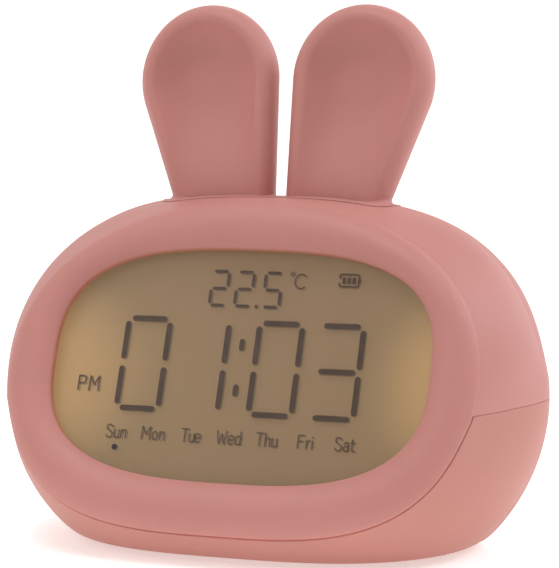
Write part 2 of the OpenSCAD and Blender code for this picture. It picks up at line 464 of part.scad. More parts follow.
module speaker_frame() color([0.15, 0.15, 0.16]) difference() {
  cyl_y(10, yb - 7.2, yb - wall - 0.4, spk_x, spk_z, 64);
  cyl_y(8.8, yb - 5.2, yb, spk_x, spk_z, 64);
  cyl_y(6.1, yb - 8, yb - 4, spk_x, spk_z, 48);
}
module speaker_magnet() color([0.4, 0.4, 0.42]) cyl_y(6, yb - 9, yb - 5.4, spk_x, spk_z, 48);
module speaker_cone() color([0.1, 0.1, 0.11]) translate([spk_x, yb - 5.1, spk_z]) rotate([-90, 0, 0])
  rotate_extrude($fn = 48) polygon([[0, 0.6], [3, 0.4], [6, 0.9], [8.7, 1.6], [8.7, 2.0], [6, 1.3], [3, 0.8], [0, 1.0]]);
module thermistor() color([0.15, 0.15, 0.2]) union() {
  translate([usb_x - 8, 28, usb_z - 1.63]) cylinder(r = 0.35, h = 4.2, $fn = 16);
  translate([usb_x - 6, 28, usb_z - 1.63]) cylinder(r = 0.35, h = 4.2, $fn = 16);
  translate([usb_x - 7, 28, usb_z + 1.8]) cylinder(r = 1.6, h = 2.6, $fn = 32);
}
// lead along a list of points
module lead(p, r) union() {
  for (i = [0:len(p)-2]) let(d = p[i+1] - p[i], l = norm(d)) translate(p[i])
    rotate([0, acos(d[2]/l), atan2(d[1], d[0])]) cylinder(r = r, h = l, $fn = 16);
  for (i = [1:len(p)-2]) translate(p[i]) sphere(r = r, $fn = 16);
}
module battery_lead() color([0.7, 0.1, 0.1]) lead([[-12, 16.2, 7], [-12, 24, 7], [-12, 24, usb_z - 3.03]], 0.7);
module speaker_lead() color([0.1, 0.1, 0.1]) lead([[spk_x, yb - 9, spk_z - 3], [spk_x, yb - 12, spk_z - 3], [spk_x, yb - 12, spk_z + 1], [spk_x, y0 + 5.7, spk_z + 1]], 0.7);

// ---------- fasteners and feet ----------
module screw_z(x, y, z, len, hr, r) union() {
  translate([x, y, z]) cylinder(r = hr, h = 1.8, $fn = 32);
  translate([x, y, z]) cylinder(r = r, h = len, $fn = 24);
}
module housing_screws() color(steel) for (s = [-1, 1], i = [0, 1]) screw_z(s*post[i][0], post[i][1], seam_z - 8.8, 20, 2.8, 1.2);
module frame_screws() color(steel) for (s = [-1, 1], v = [-12, 12]) on_face() screw_z(s*57, v, -13, 8, 1.7, 0.8);
module board_screws() color(steel) union() {
  for (s = [-1, 1], u = [-1, 1]) on_face() screw_z(s*46.5, u*24.8, -15, 6, 1.7, 0.8);
  for (s = [-1, 1]) translate([s*15, yb - 12, 49]) rotate([-90, 0, 0]) union() { cylinder(r = 1.8, h = 1.4, $fn = 32); cylinder(r = 0.8, h = 7, $fn = 24); }
  for (x = [usb_x - 9.5, usb_x + 9.5]) translate([x, 20, usb_z - 1.63]) union() { cylinder(r = 1.8, h = 1.2, $fn = 32); translate([0, 0, -6]) cylinder(r = 0.8, h = 6.2, $fn = 24); }
}
module carrier_screws() color(steel) for (s = [-1, 1]) screw_z(s*36.6, ear_y, 72, 9, 2.2, 0.9);
module rubber_feet() color([0.85, 0.83, 0.8]) for (s = [-1, 1], y = [-9, 20]) translate([s*30, y, 0]) cylinder(r = 4.5, h = foot_h + 0.8, $fn = 48);

front_housing();
lower_housing();
ear_key();
ear_guides();
ear_backs();
display_lens();
lcd_glass();
lcd_segments();
lcd_frame();
diffuser_sheet();
light_guide();
reflector_sheet();
led_strips();
warm_leds();
zebra_strip();
main_board();
chip_blob();
board_parts();
ear_carrier();
ear_springs();
ear_stop_screws();
ear_board();
ear_switch();
ear_plunger();
button_board();
button_switches();
set_button();
alarm_button();
up_button();
down_button();
set_plunger();
alarm_plunger();
up_plunger();
down_plunger();
slide_switch();
alarm_slider();
usb_socket();
power_board();
battery_cell();
battery_pad();
speaker_frame();
speaker_magnet();
speaker_cone();
thermistor();
battery_lead();
speaker_lead();
housing_screws();
frame_screws();
board_screws();
carrier_screws();
rubber_feet();
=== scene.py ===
import json
import math
import bpy
import bmesh
import numpy as np
from mathutils import Vector, Matrix


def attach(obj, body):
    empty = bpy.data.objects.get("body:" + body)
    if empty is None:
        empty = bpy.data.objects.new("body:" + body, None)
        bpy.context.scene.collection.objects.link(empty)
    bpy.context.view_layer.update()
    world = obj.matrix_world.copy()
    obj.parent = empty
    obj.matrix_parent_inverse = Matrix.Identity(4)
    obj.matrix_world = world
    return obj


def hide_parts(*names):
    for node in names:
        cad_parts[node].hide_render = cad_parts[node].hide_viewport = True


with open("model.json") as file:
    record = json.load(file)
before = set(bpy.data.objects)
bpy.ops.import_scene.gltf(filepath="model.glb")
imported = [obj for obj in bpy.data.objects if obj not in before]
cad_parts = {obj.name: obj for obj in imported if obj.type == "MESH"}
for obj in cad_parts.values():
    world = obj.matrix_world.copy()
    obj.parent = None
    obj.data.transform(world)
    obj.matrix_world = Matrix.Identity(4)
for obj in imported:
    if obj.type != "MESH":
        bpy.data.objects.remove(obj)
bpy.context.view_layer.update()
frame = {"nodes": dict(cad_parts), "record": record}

RAD = math.pi / 180

# ------------------------------------------------------------------ the clock's own dimensions, mm
TILT = 22.0
WZ = 49.5
Y0 = -19.4
FOOT = 0.8
WALL = 2.2
SEAM = 40.4
YB = Y0 + 56
ZS = SEAM - FOOT
MID = 30.4
BACK = 58.0
WEND = (56 - MID) / (BACK - MID)
EAR_Y, EAR_Z, EAR_T = 13.8, 90.8, 7.7


def mix(a, b, w):
    return a + (b - a) * w


def soft(z):
    return np.maximum(0.5 * (z + np.sqrt(z * z + 4)) - 0.09, 0)


def sect(Y, Z, tau, a, bt, bb, nt, nb, k, k2, th):
    c, s = np.cos(th), np.sin(th)
    n = np.where(s >= 0, nt, nb)
    r = (np.abs(c) ** n + np.abs(s) ** n) ** (-1 / n)
    vv = r * s
    v = np.where(s >= 0, bt, bb) * vv
    return np.stack([r * c * a * (1 - k * vv - k2 * np.maximum(vv, 0) ** 2), Y0 + Y + v * math.sin(tau * RAD), FOOT + soft(Z + v * math.cos(tau * RAD))], -1)


RY = -0.1 * math.cos(TILT * RAD) - 11.53 * math.sin(TILT * RAD)
RZ = WZ - FOOT + 0.1 * math.sin(TILT * RAD) - 11.53 * math.cos(TILT * RAD)


def prm(t):
    if t <= 1:
        ga, gt, gb = 1 - (1 - t) ** 1.62, 1 - (1 - t) ** 1.58, 1 - (1 - t) ** 1.13
        return [mix(RY, MID, t), mix(RZ, 45.3, t), mix(TILT + 0.8, 0, t), mix(63.2, 73.8, ga), mix(56.9, 45.4, gt) + 3.2 * t * (1 - t),
                mix(32.8, 69.4, gb), mix(2.01, 3.38, t ** 2.2), mix(3.21, 1.74, gb), mix(-0.179, 0.157, t ** 1.35), 0.034 * t ** 1.35]
    w = (t - 1) * WEND
    c = (1 - w ** 2.3) ** (1 / 2.3)
    return [mix(MID, BACK, w), mix(45.3, 45, w), 0, 73.8 * c, 45.4 * c, 69.4 * c, mix(3.38, 2.2, w), mix(1.74, 2.2, w), 0.157 * (1 - w), 0.034 * (1 - w)]


def S(t, th):
    return sect(*prm(t), np.asarray(th, float) * RAD)


def seam_th(t):
    p = prm(t)
    q = (ZS - p[1]) / math.cos(p[2] * RAD)
    vv = q / (p[4] if q >= 0 else p[5])
    n = p[6] if q >= 0 else p[7]
    return math.degrees(math.atan2(vv, (1 - abs(vv) ** n) ** (1 / n)))


def normal(t, th):
    e = 0.012
    a = S(t, th + 1.2) - S(t, th - 1.2)
    b = S(min(t + e, 2), th) - S(max(t - e, 0), th)
    n = np.cross(a, b)
    n /= np.linalg.norm(n, axis=-1, keepdims=True)
    out = S(t, th) - np.array([0, Y0 + 25, 45])
    return n * np.where((n * out).sum(-1, keepdims=True) > 0, 1.0, -1.0)


def face_pt(x, y, z):
    x, y, z = np.broadcast_arrays(np.asarray(x, float), np.asarray(y, float), np.asarray(z, float))
    s, c = math.sin(TILT * RAD), math.cos(TILT * RAD)
    return np.stack([x, Y0 + y * s - z * c, WZ + y * c + z * s], -1)


def unface(p):
    s, c = math.sin(TILT * RAD), math.cos(TILT * RAD)
    y, z = p[..., 1] - Y0, p[..., 2] - WZ
    return np.stack([p[..., 0], y * s + z * c, -y * c + z * s], -1)


def win(al, g=0.0):
    r = (np.abs(np.cos(al) / (51.5 + g)) ** 2.9 + np.abs(np.sin(al) / (31.0 + g)) ** 2.9) ** (-1 / 2.9)
    return r * np.cos(al), 0.4 + r * np.sin(al)


def dome_table():
    """height of the dome's top over a grid of x and y"""
    ts, th = np.linspace(0, 1.75, 260), np.linspace(12, 168, 900)
    U = [S(t, th) for t in ts]
    xs, ys = np.linspace(-38, 38, 153), np.linspace(-2, 27, 117)
    T = np.zeros((len(ys), len(xs)))
    for i, x in enumerate(xs):
        yz = np.array([(np.interp(x, r[::-1, 0], r[::-1, 1]), np.interp(x, r[::-1, 0], r[::-1, 2])) for r in U])
        T[:, i] = np.interp(ys, yz[:, 0], yz[:, 1])
    return xs, ys, T


DOME = dome_table()


def dome_z(x, y):
    xs, ys, T = DOME
    fx = np.clip((np.asarray(x, float) - xs[0]) / (xs[1] - xs[0]), 0, len(xs) - 1.001)
    fy = np.clip((np.asarray(y, float) - ys[0]) / (ys[1] - ys[0]), 0, len(ys) - 1.001)
    i, j = fx.astype(int), fy.astype(int)
    a, b = fx - i, fy - j
    return (T[j, i] * (1 - a) + T[j, i + 1] * a) * (1 - b) + (T[j + 1, i] * (1 - a) + T[j + 1, i + 1] * a) * b


# ------------------------------------------------------------------ mesh helpers
def build(name, V, F, mat, body, sharp=38.0, replaces=(), slot=None, flip=True):
    me = bpy.data.meshes.new(name)
    me.from_pydata((np.asarray(V, float) * 0.001).tolist(), [], [tuple(int(i) for i in f) for f in F])
    me.update()
    if flip:
        bm = bmesh.new()
        bm.from_mesh(me)
        bmesh.ops.recalc_face_normals(bm, faces=bm.faces)
        bm.to_mesh(me)
        bm.free()
    o = bpy.data.objects.new(name, me)
    bpy.context.scene.collection.objects.link(o)
    me.materials.append(mat)
    finish_shading(o, sharp)
    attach(o, body)
    if replaces:
        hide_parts(*replaces)
    return o


def finish_shading(o, sharp=38.0):
    o.data.shade_smooth()
    o.data.set_sharp_from_angle(angle=sharp * RAD)


def grid_quads(rows, cols, first=0, wrap=False):
    F = []
    n = cols if wrap else cols - 1
    for i in range(rows - 1):
        for j in range(n):
            k = (j + 1) % cols
            F.append((first + i * cols + j, first + i * cols + k, first + (i + 1) * cols + k, first + (i + 1) * cols + j))
    return F


class Mesh:
    def __init__(self):
        self.V, self.F = [], []

    def rows(self, rows, wrap=True, cap0=False, cap1=False):
        """rows: list of equal-length point lists joined one to the next"""
        f0 = len(self.V)
        n = len(rows[0])
        for r in rows:
            self.V.extend([tuple(map(float, p)) for p in r])
        self.F += grid_quads(len(rows), n, f0, wrap)
        if cap0:
            self.F.append(tuple(range(f0, f0 + n)))
        if cap1:
            e = f0 + (len(rows) - 1) * n
            self.F.append(tuple(range(e + n - 1, e - 1, -1)))
        return self

    def lathe(self, prof, at=(0, 0, 0), axis="z", n=96, sx=1.0, sz=1.0):
        """prof: (radius, height) pairs from one end to the other, closed with caps where the radius isn't 0"""
        a = np.linspace(0, 2 * math.pi, n, endpoint=False)
        rows = []
        for r, h in prof:
            r = max(r, 1e-4)
            if axis == "z":
                P = np.stack([at[0] + r * sx * np.cos(a), at[1] + r * sz * np.sin(a), np.full(n, at[2] + h)], -1)
            else:
                P = np.stack([at[0] + r * sx * np.cos(a), np.full(n, at[1] + h), at[2] + r * sz * np.sin(a)], -1)
            rows.append(P)
        return self.rows(rows, True, True, True)

    def make(self, name, mat, body, **k):
        return build(name, self.V, self.F, mat, body, **k)


def stadium(l, w, n=24, inset=0.0):
    """points of a rounded slot outline, l long over all and w wide"""
    r = w / 2 - inset
    c = (l - w) / 2
    a = np.linspace(-math.pi / 2, math.pi / 2, n)
    b = a + math.pi
    q = np.linspace(c, -c, max(3, int(l)))[1:-1]
    return np.concatenate([np.stack([c + r * np.cos(a), r * np.sin(a)], -1), np.stack([q, np.full(len(q), r)], -1),
                           np.stack([-c + r * np.cos(b), r * np.sin(b)], -1), np.stack([-q, np.full(len(q), -r)], -1)])


def cutter(parts):
    m = Mesh()
    for rows in parts:
        m.rows(rows, True, True, True)
    me = bpy.data.meshes.new("cut")
    me.from_pydata((np.asarray(m.V) * 0.001).tolist(), [], m.F)
    bm = bmesh.new()
    bm.from_mesh(me)
    bmesh.ops.recalc_face_normals(bm, faces=bm.faces)
    bm.to_mesh(me)
    bm.free()
    o = bpy.data.objects.new("cut", me)
    bpy.context.scene.collection.objects.link(o)
    return o


def cut(obj, parts):
    c = cutter(parts)
    mod = obj.modifiers.new("cut", "BOOLEAN")
    mod.operation = "DIFFERENCE"
    mod.solver = "MANIFOLD"
    mod.object = c
    bpy.context.view_layer.update()
    dg = bpy.context.evaluated_depsgraph_get()
    me = bpy.data.meshes.new_from_object(obj.evaluated_get(dg))
    obj.modifiers.clear()
    old = obj.data
    obj.data = me
    bpy.data.objects.remove(c)
    if len(me.vertices) < 0.5 * len(old.vertices):
        print("CUT FAILED for", obj.name)
        obj.data = old
    finish_shading(obj)


def disc_rows(r, x, z, y1, y2, n=64):
    a = np.linspace(0, 2 * math.pi, n, endpoint=False)
    return [np.stack([x + r * np.cos(a), np.full(n, y), z + r * np.sin(a)], -1) for y in (y1, y2)]


def disc_rows_z(r, x, y, z1, z2, n=64):
    a = np.linspace(0, 2 * math.pi, n, endpoint=False)
    return [np.stack([x + r * np.cos(a), y + r * np.sin(a), np.full(n, z)], -1) for z in (z1, z2)]


# ------------------------------------------------------------------ materials
def new_mat(name):
    m = bpy.data.materials.new(name)
    m.use_nodes = True
    nt = m.node_tree
    nt.nodes.clear()
    out = nt.nodes.new("ShaderNodeOutputMaterial")
    return m, nt, out


def nd(nt, kind, **k):
    n = nt.nodes.new(kind)
    for a, v in k.items():
        if a.startswith("i_"):
            n.inputs[a[2:].replace("_", " ")].default_value = v
        else:
            setattr(n, a, v)
    return n


def ramp(nt, stops, interp="LINEAR"):
    r = nt.nodes.new("ShaderNodeValToRGB")
    r.color_ramp.interpolation = interp
    els = r.color_ramp.elements
    while len(els) < len(stops):
        els.new(0.5)
    for e, (p, c) in zip(els, stops):
        e.position = p
        e.color = (*c, 1.0) if len(c) == 3 else c
    return r


def srgb(r, g, b):
    f = lambda c: (c / 255 / 12.92) if c / 255 <= 0.04045 else ((c / 255 + 0.055) / 1.055) ** 2.4
    return (f(r), f(g), f(b))


def plastic(name, col, rough=0.5, var=0.035, grain=0.35, spec=0.35, sss=0.0, scale=1.0):
    """moulded plastic: faint cloudy colour drift, fine spark-textured grain in bump and roughness"""
    m, nt, out = new_mat(name)
    tc = nd(nt, "ShaderNodeTexCoord")
    big = nd(nt, "ShaderNodeTexNoise", i_Scale=38.0 * scale, i_Detail=3.0, i_Roughness=0.5)
    fine = nd(nt, "ShaderNodeTexNoise", i_Scale=2100.0 * scale, i_Detail=2.0, i_Roughness=0.55)
    spk = nd(nt, "ShaderNodeTexVoronoi", i_Scale=1500.0 * scale)
    for n in (big, fine, spk):
        nt.links.new(tc.outputs["Object"], n.inputs["Vector"])
    lo = tuple(c * (1 - var) for c in col)
    hi = tuple(min(1, c * (1 + var)) for c in col)
    r1 = ramp(nt, [(0.3, lo), (0.7, hi)])
    nt.links.new(big.outputs["Fac"], r1.inputs["Fac"])
    r2 = ramp(nt, [(0.35, (0.965, 0.96, 0.96)), (0.65, (1, 1, 1))])
    nt.links.new(fine.outputs["Fac"], r2.inputs["Fac"])
    mx = nd(nt, "ShaderNodeMix", data_type="RGBA", blend_type="MULTIPLY")
    mx.inputs["Factor"].default_value = 1.0
    nt.links.new(r1.outputs["Color"], mx.inputs[6])
    nt.links.new(r2.outputs["Color"], mx.inputs[7])
    rr = nd(nt, "ShaderNodeMapRange")
    rr.inputs["From Min"].default_value, rr.inputs["From Max"].default_value = 0.3, 0.7
    rr.inputs["To Min"].default_value, rr.inputs["To Max"].default_value = rough - 0.05, rough + 0.06
    nt.links.new(fine.outputs["Fac"], rr.inputs["Value"])
    add = nd(nt, "ShaderNodeMath", operation="ADD")
    nt.links.new(fine.outputs["Fac"], add.inputs[0])
    nt.links.new(spk.outputs["Distance"], add.inputs[1])
    bmp = nd(nt, "ShaderNodeBump", i_Strength=grain, i_Distance=0.00004)
    nt.links.new(add.outputs[0], bmp.inputs["Height"])
    p = nd(nt, "ShaderNodeBsdfPrincipled")
    nt.links.new(mx.outputs[2], p.inputs["Base Color"])
    nt.links.new(rr.outputs["Result"], p.inputs["Roughness"])
    nt.links.new(bmp.outputs["Normal"], p.inputs["Normal"])
    p.inputs["Specular IOR Level"].default_value = spec
    if sss:
        p.inputs["Subsurface Weight"].default_value = sss
        p.inputs["Subsurface Radius"].default_value = (1.0, 0.45, 0.35)
        p.inputs["Subsurface Scale"].default_value = 0.0022
    nt.links.new(p.outputs[0], out.inputs["Surface"])
    return m


def metal(name, col, rough=0.25, scale=1.0):
    m, nt, out = new_mat(name)
    tc = nd(nt, "ShaderNodeTexCoord")
    mp = nd(nt, "ShaderNodeMapping")
    mp.inputs["Scale"].default_value = (1, 1, 14)
    n = nd(nt, "ShaderNodeTexNoise", i_Scale=420.0 * scale, i_Detail=4.0)
    nt.links.new(tc.outputs["Object"], mp.inputs["Vector"])
    nt.links.new(mp.outputs[0], n.inputs["Vector"])
    r = ramp(nt, [(0.3, tuple(c * 0.86 for c in col)), (0.7, col)])
    nt.links.new(n.outputs["Fac"], r.inputs["Fac"])
    rr = nd(nt, "ShaderNodeMapRange")
    rr.inputs["To Min"].default_value, rr.inputs["To Max"].default_value = rough - 0.06, rough + 0.1
    nt.links.new(n.outputs["Fac"], rr.inputs["Value"])
    p = nd(nt, "ShaderNodeBsdfPrincipled")
    p.inputs["Metallic"].default_value = 1.0
    nt.links.new(r.outputs["Color"], p.inputs["Base Color"])
    nt.links.new(rr.outputs["Result"], p.inputs["Roughness"])
    nt.links.new(p.outputs[0], out.inputs["Surface"])
    return m


PINK = plastic("pink_plastic_look", (0.560, 0.240, 0.212), rough=0.50, var=0.018, grain=0.2, spec=0.34)
# darker, warmer copy of the pink plastic: painted shade and painted warm floor bounce on the lower shell and the ear
# backs
PINK_SHADED_WARM = plastic("pink_plastic_shaded_warm_look", (0.528, 0.223, 0.182), rough=0.50, var=0.018, grain=0.2, spec=0.34)
WHITE = plastic("white_plastic_look", (0.78, 0.75, 0.70), rough=0.42, var=0.02, grain=0.15)
RUBBER = plastic("grey_rubber_look", (0.42, 0.40, 0.38), rough=0.75, var=0.06, grain=0.8, spec=0.2)
BLACK = plastic("black_plastic_look", (0.02, 0.02, 0.022), rough=0.45, var=0.1, grain=0.4)
RED = plastic("red_wire_look", (0.42, 0.02, 0.02), rough=0.4, var=0.08, grain=0.2)
BOARD = plastic("circuit_board_look", (0.015, 0.11, 0.05), rough=0.3, var=0.15, grain=0.25, spec=0.5)
LAMP = plastic("lamp_look", (0.85, 0.62, 0.25), rough=0.3, var=0.08, grain=0.1)
SHEET = plastic("white_sheet_look", (0.86, 0.84, 0.78), rough=0.6, var=0.02, grain=0.1)
STEEL = metal("steel_look", (0.62, 0.62, 0.64))
FOIL = metal("foil_look", (0.6, 0.61, 0.64), rough=0.4, scale=0.6)


def window_mat():
    """clear cover with a faint satin reflection"""
    m, nt, out = new_mat("clear_window_look")
    tc = nd(nt, "ShaderNodeTexCoord")
    n = nd(nt, "ShaderNodeTexNoise", i_Scale=1600.0, i_Detail=2.0)
    nt.links.new(tc.outputs["Object"], n.inputs["Vector"])
    rr = nd(nt, "ShaderNodeMapRange")
    rr.inputs["To Min"].default_value, rr.inputs["To Max"].default_value = 0.24, 0.34
    nt.links.new(n.outputs["Fac"], rr.inputs["Value"])
    fr = nd(nt, "ShaderNodeFresnel", i_IOR=1.38)
    ml = nd(nt, "ShaderNodeMath", operation="MULTIPLY")
    ml.inputs[1].default_value = 0.55
    nt.links.new(fr.outputs[0], ml.inputs[0])
    tr = nd(nt, "ShaderNodeBsdfTransparent")
    tr.inputs["Color"].default_value = (0.985, 0.975, 0.955, 1)
    gl = nd(nt, "ShaderNodeBsdfGlossy")
    nt.links.new(rr.outputs["Result"], gl.inputs["Roughness"])
    ms = nd(nt, "ShaderNodeMixShader")
    nt.links.new(ml.outputs[0], ms.inputs["Fac"])
    nt.links.new(tr.outputs[0], ms.inputs[1])
    nt.links.new(gl.outputs[0], ms.inputs[2])
    nt.links.new(ms.outputs[0], out.inputs["Surface"])
    return m


def glow_blob(nt, tc, at, size, gain):
    """soft spot around a point of the panel: gain * (1 - smooth distance)"""
    mp = nd(nt, "ShaderNodeMapping")
    mp.vector_type = "POINT"
    mp.inputs["Location"].default_value = (-at[0] / size[0], -at[1] / size[1], -at[2] / size[2])
    mp.inputs["Scale"].default_value = (1 / size[0], 1 / size[1], 1 / size[2])
    nt.links.new(tc.outputs["Object"], mp.inputs["Vector"])
    ln = nd(nt, "ShaderNodeVectorMath", operation="LENGTH")
    nt.links.new(mp.outputs[0], ln.inputs[0])
    rr = nd(nt, "ShaderNodeMapRange", interpolation_type="SMOOTHERSTEP")
    rr.inputs["From Min"].default_value, rr.inputs["From Max"].default_value = 0.0, 1.0
    rr.inputs["To Min"].default_value, rr.inputs["To Max"].default_value = gain, 0.0
    nt.links.new(ln.outputs["Value"], rr.inputs["Value"])
    return rr.outputs["Result"]


def panel_mat():
    """the lit back of the panel: olive grey-brown, amber where the edge lamps shine in"""
    m, nt, out = new_mat("panel_look")
    tc = nd(nt, "ShaderNodeTexCoord")
    blobs = [glow_blob(nt, tc, (-0.056, -0.02, 0.046), (0.040, 0.08, 0.042), 0.72),
             glow_blob(nt, tc, (0.058, -0.02, 0.048), (0.032, 0.08, 0.041), 0.94),
             glow_blob(nt, tc, (-0.046, -0.02, 0.042), (0.090, 0.12, 0.056), 0.37),
             glow_blob(nt, tc, (0.050, -0.02, 0.044), (0.070, 0.12, 0.054), 0.25)]
    s = blobs[0]
    for b in blobs[1:]:
        a = nd(nt, "ShaderNodeMath", operation="ADD")
        nt.links.new(s, a.inputs[0])
        nt.links.new(b, a.inputs[1])
        s = a.outputs[0]
    cl = nd(nt, "ShaderNodeClamp")
    nt.links.new(s, cl.inputs["Value"])
    base = ramp(nt, [(0.0, (0.190, 0.132, 0.088)), (0.35, (0.225, 0.155, 0.092)), (1.0, (0.31, 0.195, 0.10))])
    nt.links.new(cl.outputs[0], base.inputs["Fac"])
    n = nd(nt, "ShaderNodeTexNoise", i_Scale=55.0, i_Detail=3.0)
    f = nd(nt, "ShaderNodeTexNoise", i_Scale=3200.0, i_Detail=1.0)
    for q in (n, f):
        nt.links.new(tc.outputs["Object"], q.inputs["Vector"])
    v = ramp(nt, [(0.3, (0.955, 0.965, 0.955)), (0.7, (1, 0.99, 0.98))])
    nt.links.new(n.outputs["Fac"], v.inputs["Fac"])
    mx = nd(nt, "ShaderNodeMix", data_type="RGBA", blend_type="MULTIPLY")
    mx.inputs["Factor"].default_value = 1.0
    nt.links.new(base.outputs["Color"], mx.inputs[6])
    nt.links.new(v.outputs["Color"], mx.inputs[7])
    em = ramp(nt, [(0.0, (0.147, 0.092, 0.051)), (0.35, (0.157, 0.108, 0.058)), (1.0, (0.280, 0.185, 0.090))])
    nt.links.new(cl.outputs[0], em.inputs["Fac"])
    p = nd(nt, "ShaderNodeBsdfPrincipled")
    p.inputs["Roughness"].default_value = 0.75
    p.inputs["Specular IOR Level"].default_value = 0.1
    nt.links.new(mx.outputs[2], p.inputs["Base Color"])
    nt.links.new(em.outputs["Color"], p.inputs["Emission Color"])
    p.inputs["Emission Strength"].default_value = 1.0
    b = nd(nt, "ShaderNodeBump", i_Strength=0.08, i_Distance=0.00003)
    nt.links.new(f.outputs["Fac"], b.inputs["Height"])
    nt.links.new(b.outputs["Normal"], p.inputs["Normal"])
    nt.links.new(p.outputs[0], out.inputs["Surface"])
    return m


def mark_mat(name, col):
    """a dark liquid-crystal mark: slightly uneven, part of the light still comes through"""
    m, nt, out = new_mat(name)
    tc = nd(nt, "ShaderNodeTexCoord")
    n = nd(nt, "ShaderNodeTexNoise", i_Scale=260.0, i_Detail=3.0)
    nt.links.new(tc.outputs["Object"], n.inputs["Vector"])
    r = ramp(nt, [(0.3, tuple(c * 0.85 for c in col)), (0.7, tuple(c * 1.15 for c in col))])
    nt.links.new(n.outputs["Fac"], r.inputs["Fac"])
    p = nd(nt, "ShaderNodeBsdfPrincipled")
    p.inputs["Roughness"].default_value = 0.6
    p.inputs["Specular IOR Level"].default_value = 0.1
    nt.links.new(r.outputs["Color"], p.inputs["Base Color"])
    nt.links.new(p.outputs[0], out.inputs["Surface"])
    return m


def tray_mat():
    """white tray round the panel, painted dark brown as shade, with painted amber glow in its colour and emission
    where the edge lamps light it
    """
    m, nt, out = new_mat("tray_painted_glow_look")
    tc = nd(nt, "ShaderNodeTexCoord")
    a = glow_blob(nt, tc, (-0.0535, -0.02, 0.047), (0.02, 0.05, 0.045), 1.0)
    b = glow_blob(nt, tc, (0.0535, -0.02, 0.047), (0.02, 0.05, 0.04), 1.0)
    s = nd(nt, "ShaderNodeMath", operation="ADD")
    nt.links.new(a, s.inputs[0])
    nt.links.new(b, s.inputs[1])
    r = ramp(nt, [(0.0, (0.10, 0.055, 0.028)), (0.6, (0.42, 0.22, 0.06)), (1.0, (0.60, 0.34, 0.10))])
    e = ramp(nt, [(0.0, (0.02, 0.010, 0.004)), (0.6, (0.16, 0.075, 0.012)), (1.0, (0.30, 0.15, 0.03))])
    n = nd(nt, "ShaderNodeTexNoise", i_Scale=900.0, i_Detail=2.0)
    nt.links.new(tc.outputs["Object"], n.inputs["Vector"])
    bm_ = nd(nt, "ShaderNodeBump", i_Strength=0.15, i_Distance=0.00004)
    nt.links.new(n.outputs["Fac"], bm_.inputs["Height"])
    p = nd(nt, "ShaderNodeBsdfPrincipled")
    p.inputs["Roughness"].default_value = 0.5
    for q in (r, e):
        nt.links.new(s.outputs[0], q.inputs["Fac"])
    nt.links.new(r.outputs["Color"], p.inputs["Base Color"])
    nt.links.new(e.outputs["Color"], p.inputs["Emission Color"])
    p.inputs["Emission Strength"].default_value = 1.0
    nt.links.new(bm_.outputs["Normal"], p.inputs["Normal"])
    nt.links.new(p.outputs[0], out.inputs["Surface"])
    return m


WINDOW = window_mat()
TRAY = tray_mat()
PANEL = panel_mat()
MARK = mark_mat("dark_mark_look", (0.105, 0.070, 0.055))
MARK_THIN = mark_mat("thin_mark_look", (0.125, 0.080, 0.062))
MARK_RED = mark_mat("point_mark_look", (0.12, 0.06, 0.05))
MARK_DOT = mark_mat("day_dot_look", (0.035, 0.032, 0.030))


def shade_mat(name, amount):
    """painted shadow that a mark throws on the panel behind it: a sheet, part dark, part clear"""
    m, nt, out = new_mat(name)
    tc = nd(nt, "ShaderNodeTexCoord")
    n = nd(nt, "ShaderNodeTexNoise", i_Scale=420.0, i_Detail=2.0)
    nt.links.new(tc.outputs["Object"], n.inputs["Vector"])
    rr = nd(nt, "ShaderNodeMapRange")
    rr.inputs["To Min"].default_value, rr.inputs["To Max"].default_value = amount * 0.85, amount * 1.15
    nt.links.new(n.outputs["Fac"], rr.inputs["Value"])
    cr = ramp(nt, [(0.3, (0.085, 0.060, 0.045)), (0.7, (0.105, 0.075, 0.055))])
    nt.links.new(n.outputs["Fac"], cr.inputs["Fac"])
    tr = nd(nt, "ShaderNodeBsdfTransparent")
    df = nd(nt, "ShaderNodeBsdfDiffuse")
    nt.links.new(cr.outputs["Color"], df.inputs["Color"])
    ms = nd(nt, "ShaderNodeMixShader")
    nt.links.new(rr.outputs["Result"], ms.inputs["Fac"])
    nt.links.new(tr.outputs[0], ms.inputs[1])
    nt.links.new(df.outputs[0], ms.inputs[2])
    nt.links.new(ms.outputs[0], out.inputs["Surface"])
    return m


SHADE = shade_mat("mark_painted_shadow_look", 0.30)

# ------------------------------------------------------------------ upper shell with the ring
NM = 190
NLO = 150
NT = 84
RE = 0.3
DD = np.array([0, 0.05, 0.11, 0.19, 0.3, 0.5, 0.9, 1.6, 2.8])


def edge_drop(d):
    d = np.minimum(d, RE)
    return RE - np.sqrt(np.maximum(RE * RE - (RE - d) ** 2, 0))


def columns(t, lower):
    s = seam_th(t)
    a, b = (180 - s, 360 + s) if lower else (s, 180 - s)
    va = np.linalg.norm(S(t, a + 0.5) - S(t, a)) / 0.5
    vb = np.linalg.norm(S(t, b - 0.5) - S(t, b)) / 0.5
    n = NLO if lower else NM
    th = np.concatenate([a + DD / va, np.linspace(a + DD[-1] / va, b - DD[-1] / vb, n)[1:-1], b - DD[::-1] / vb])
    k = len(DD)
    drop = np.zeros(len(th))
    drop[:k] = edge_drop(DD)
    drop[-k:] = edge_drop(DD[::-1])
    return th, drop


def shell_row(t, lower, zflat, edge=1.0, extra=0.0):
    th, drop = columns(t, lower)
    n = normal(t, th)
    d = np.maximum(drop * edge, extra)
    P = S(t, th) - n * d[:, None]
    Q = S(t, th) - n * WALL
    if t >= 2:
        Q[:, 1] = YB - WALL
        P[:, 1] = YB - d
    for A in (P, Q):
        A[0, 2] = A[-1, 2] = zflat
    return P, Q


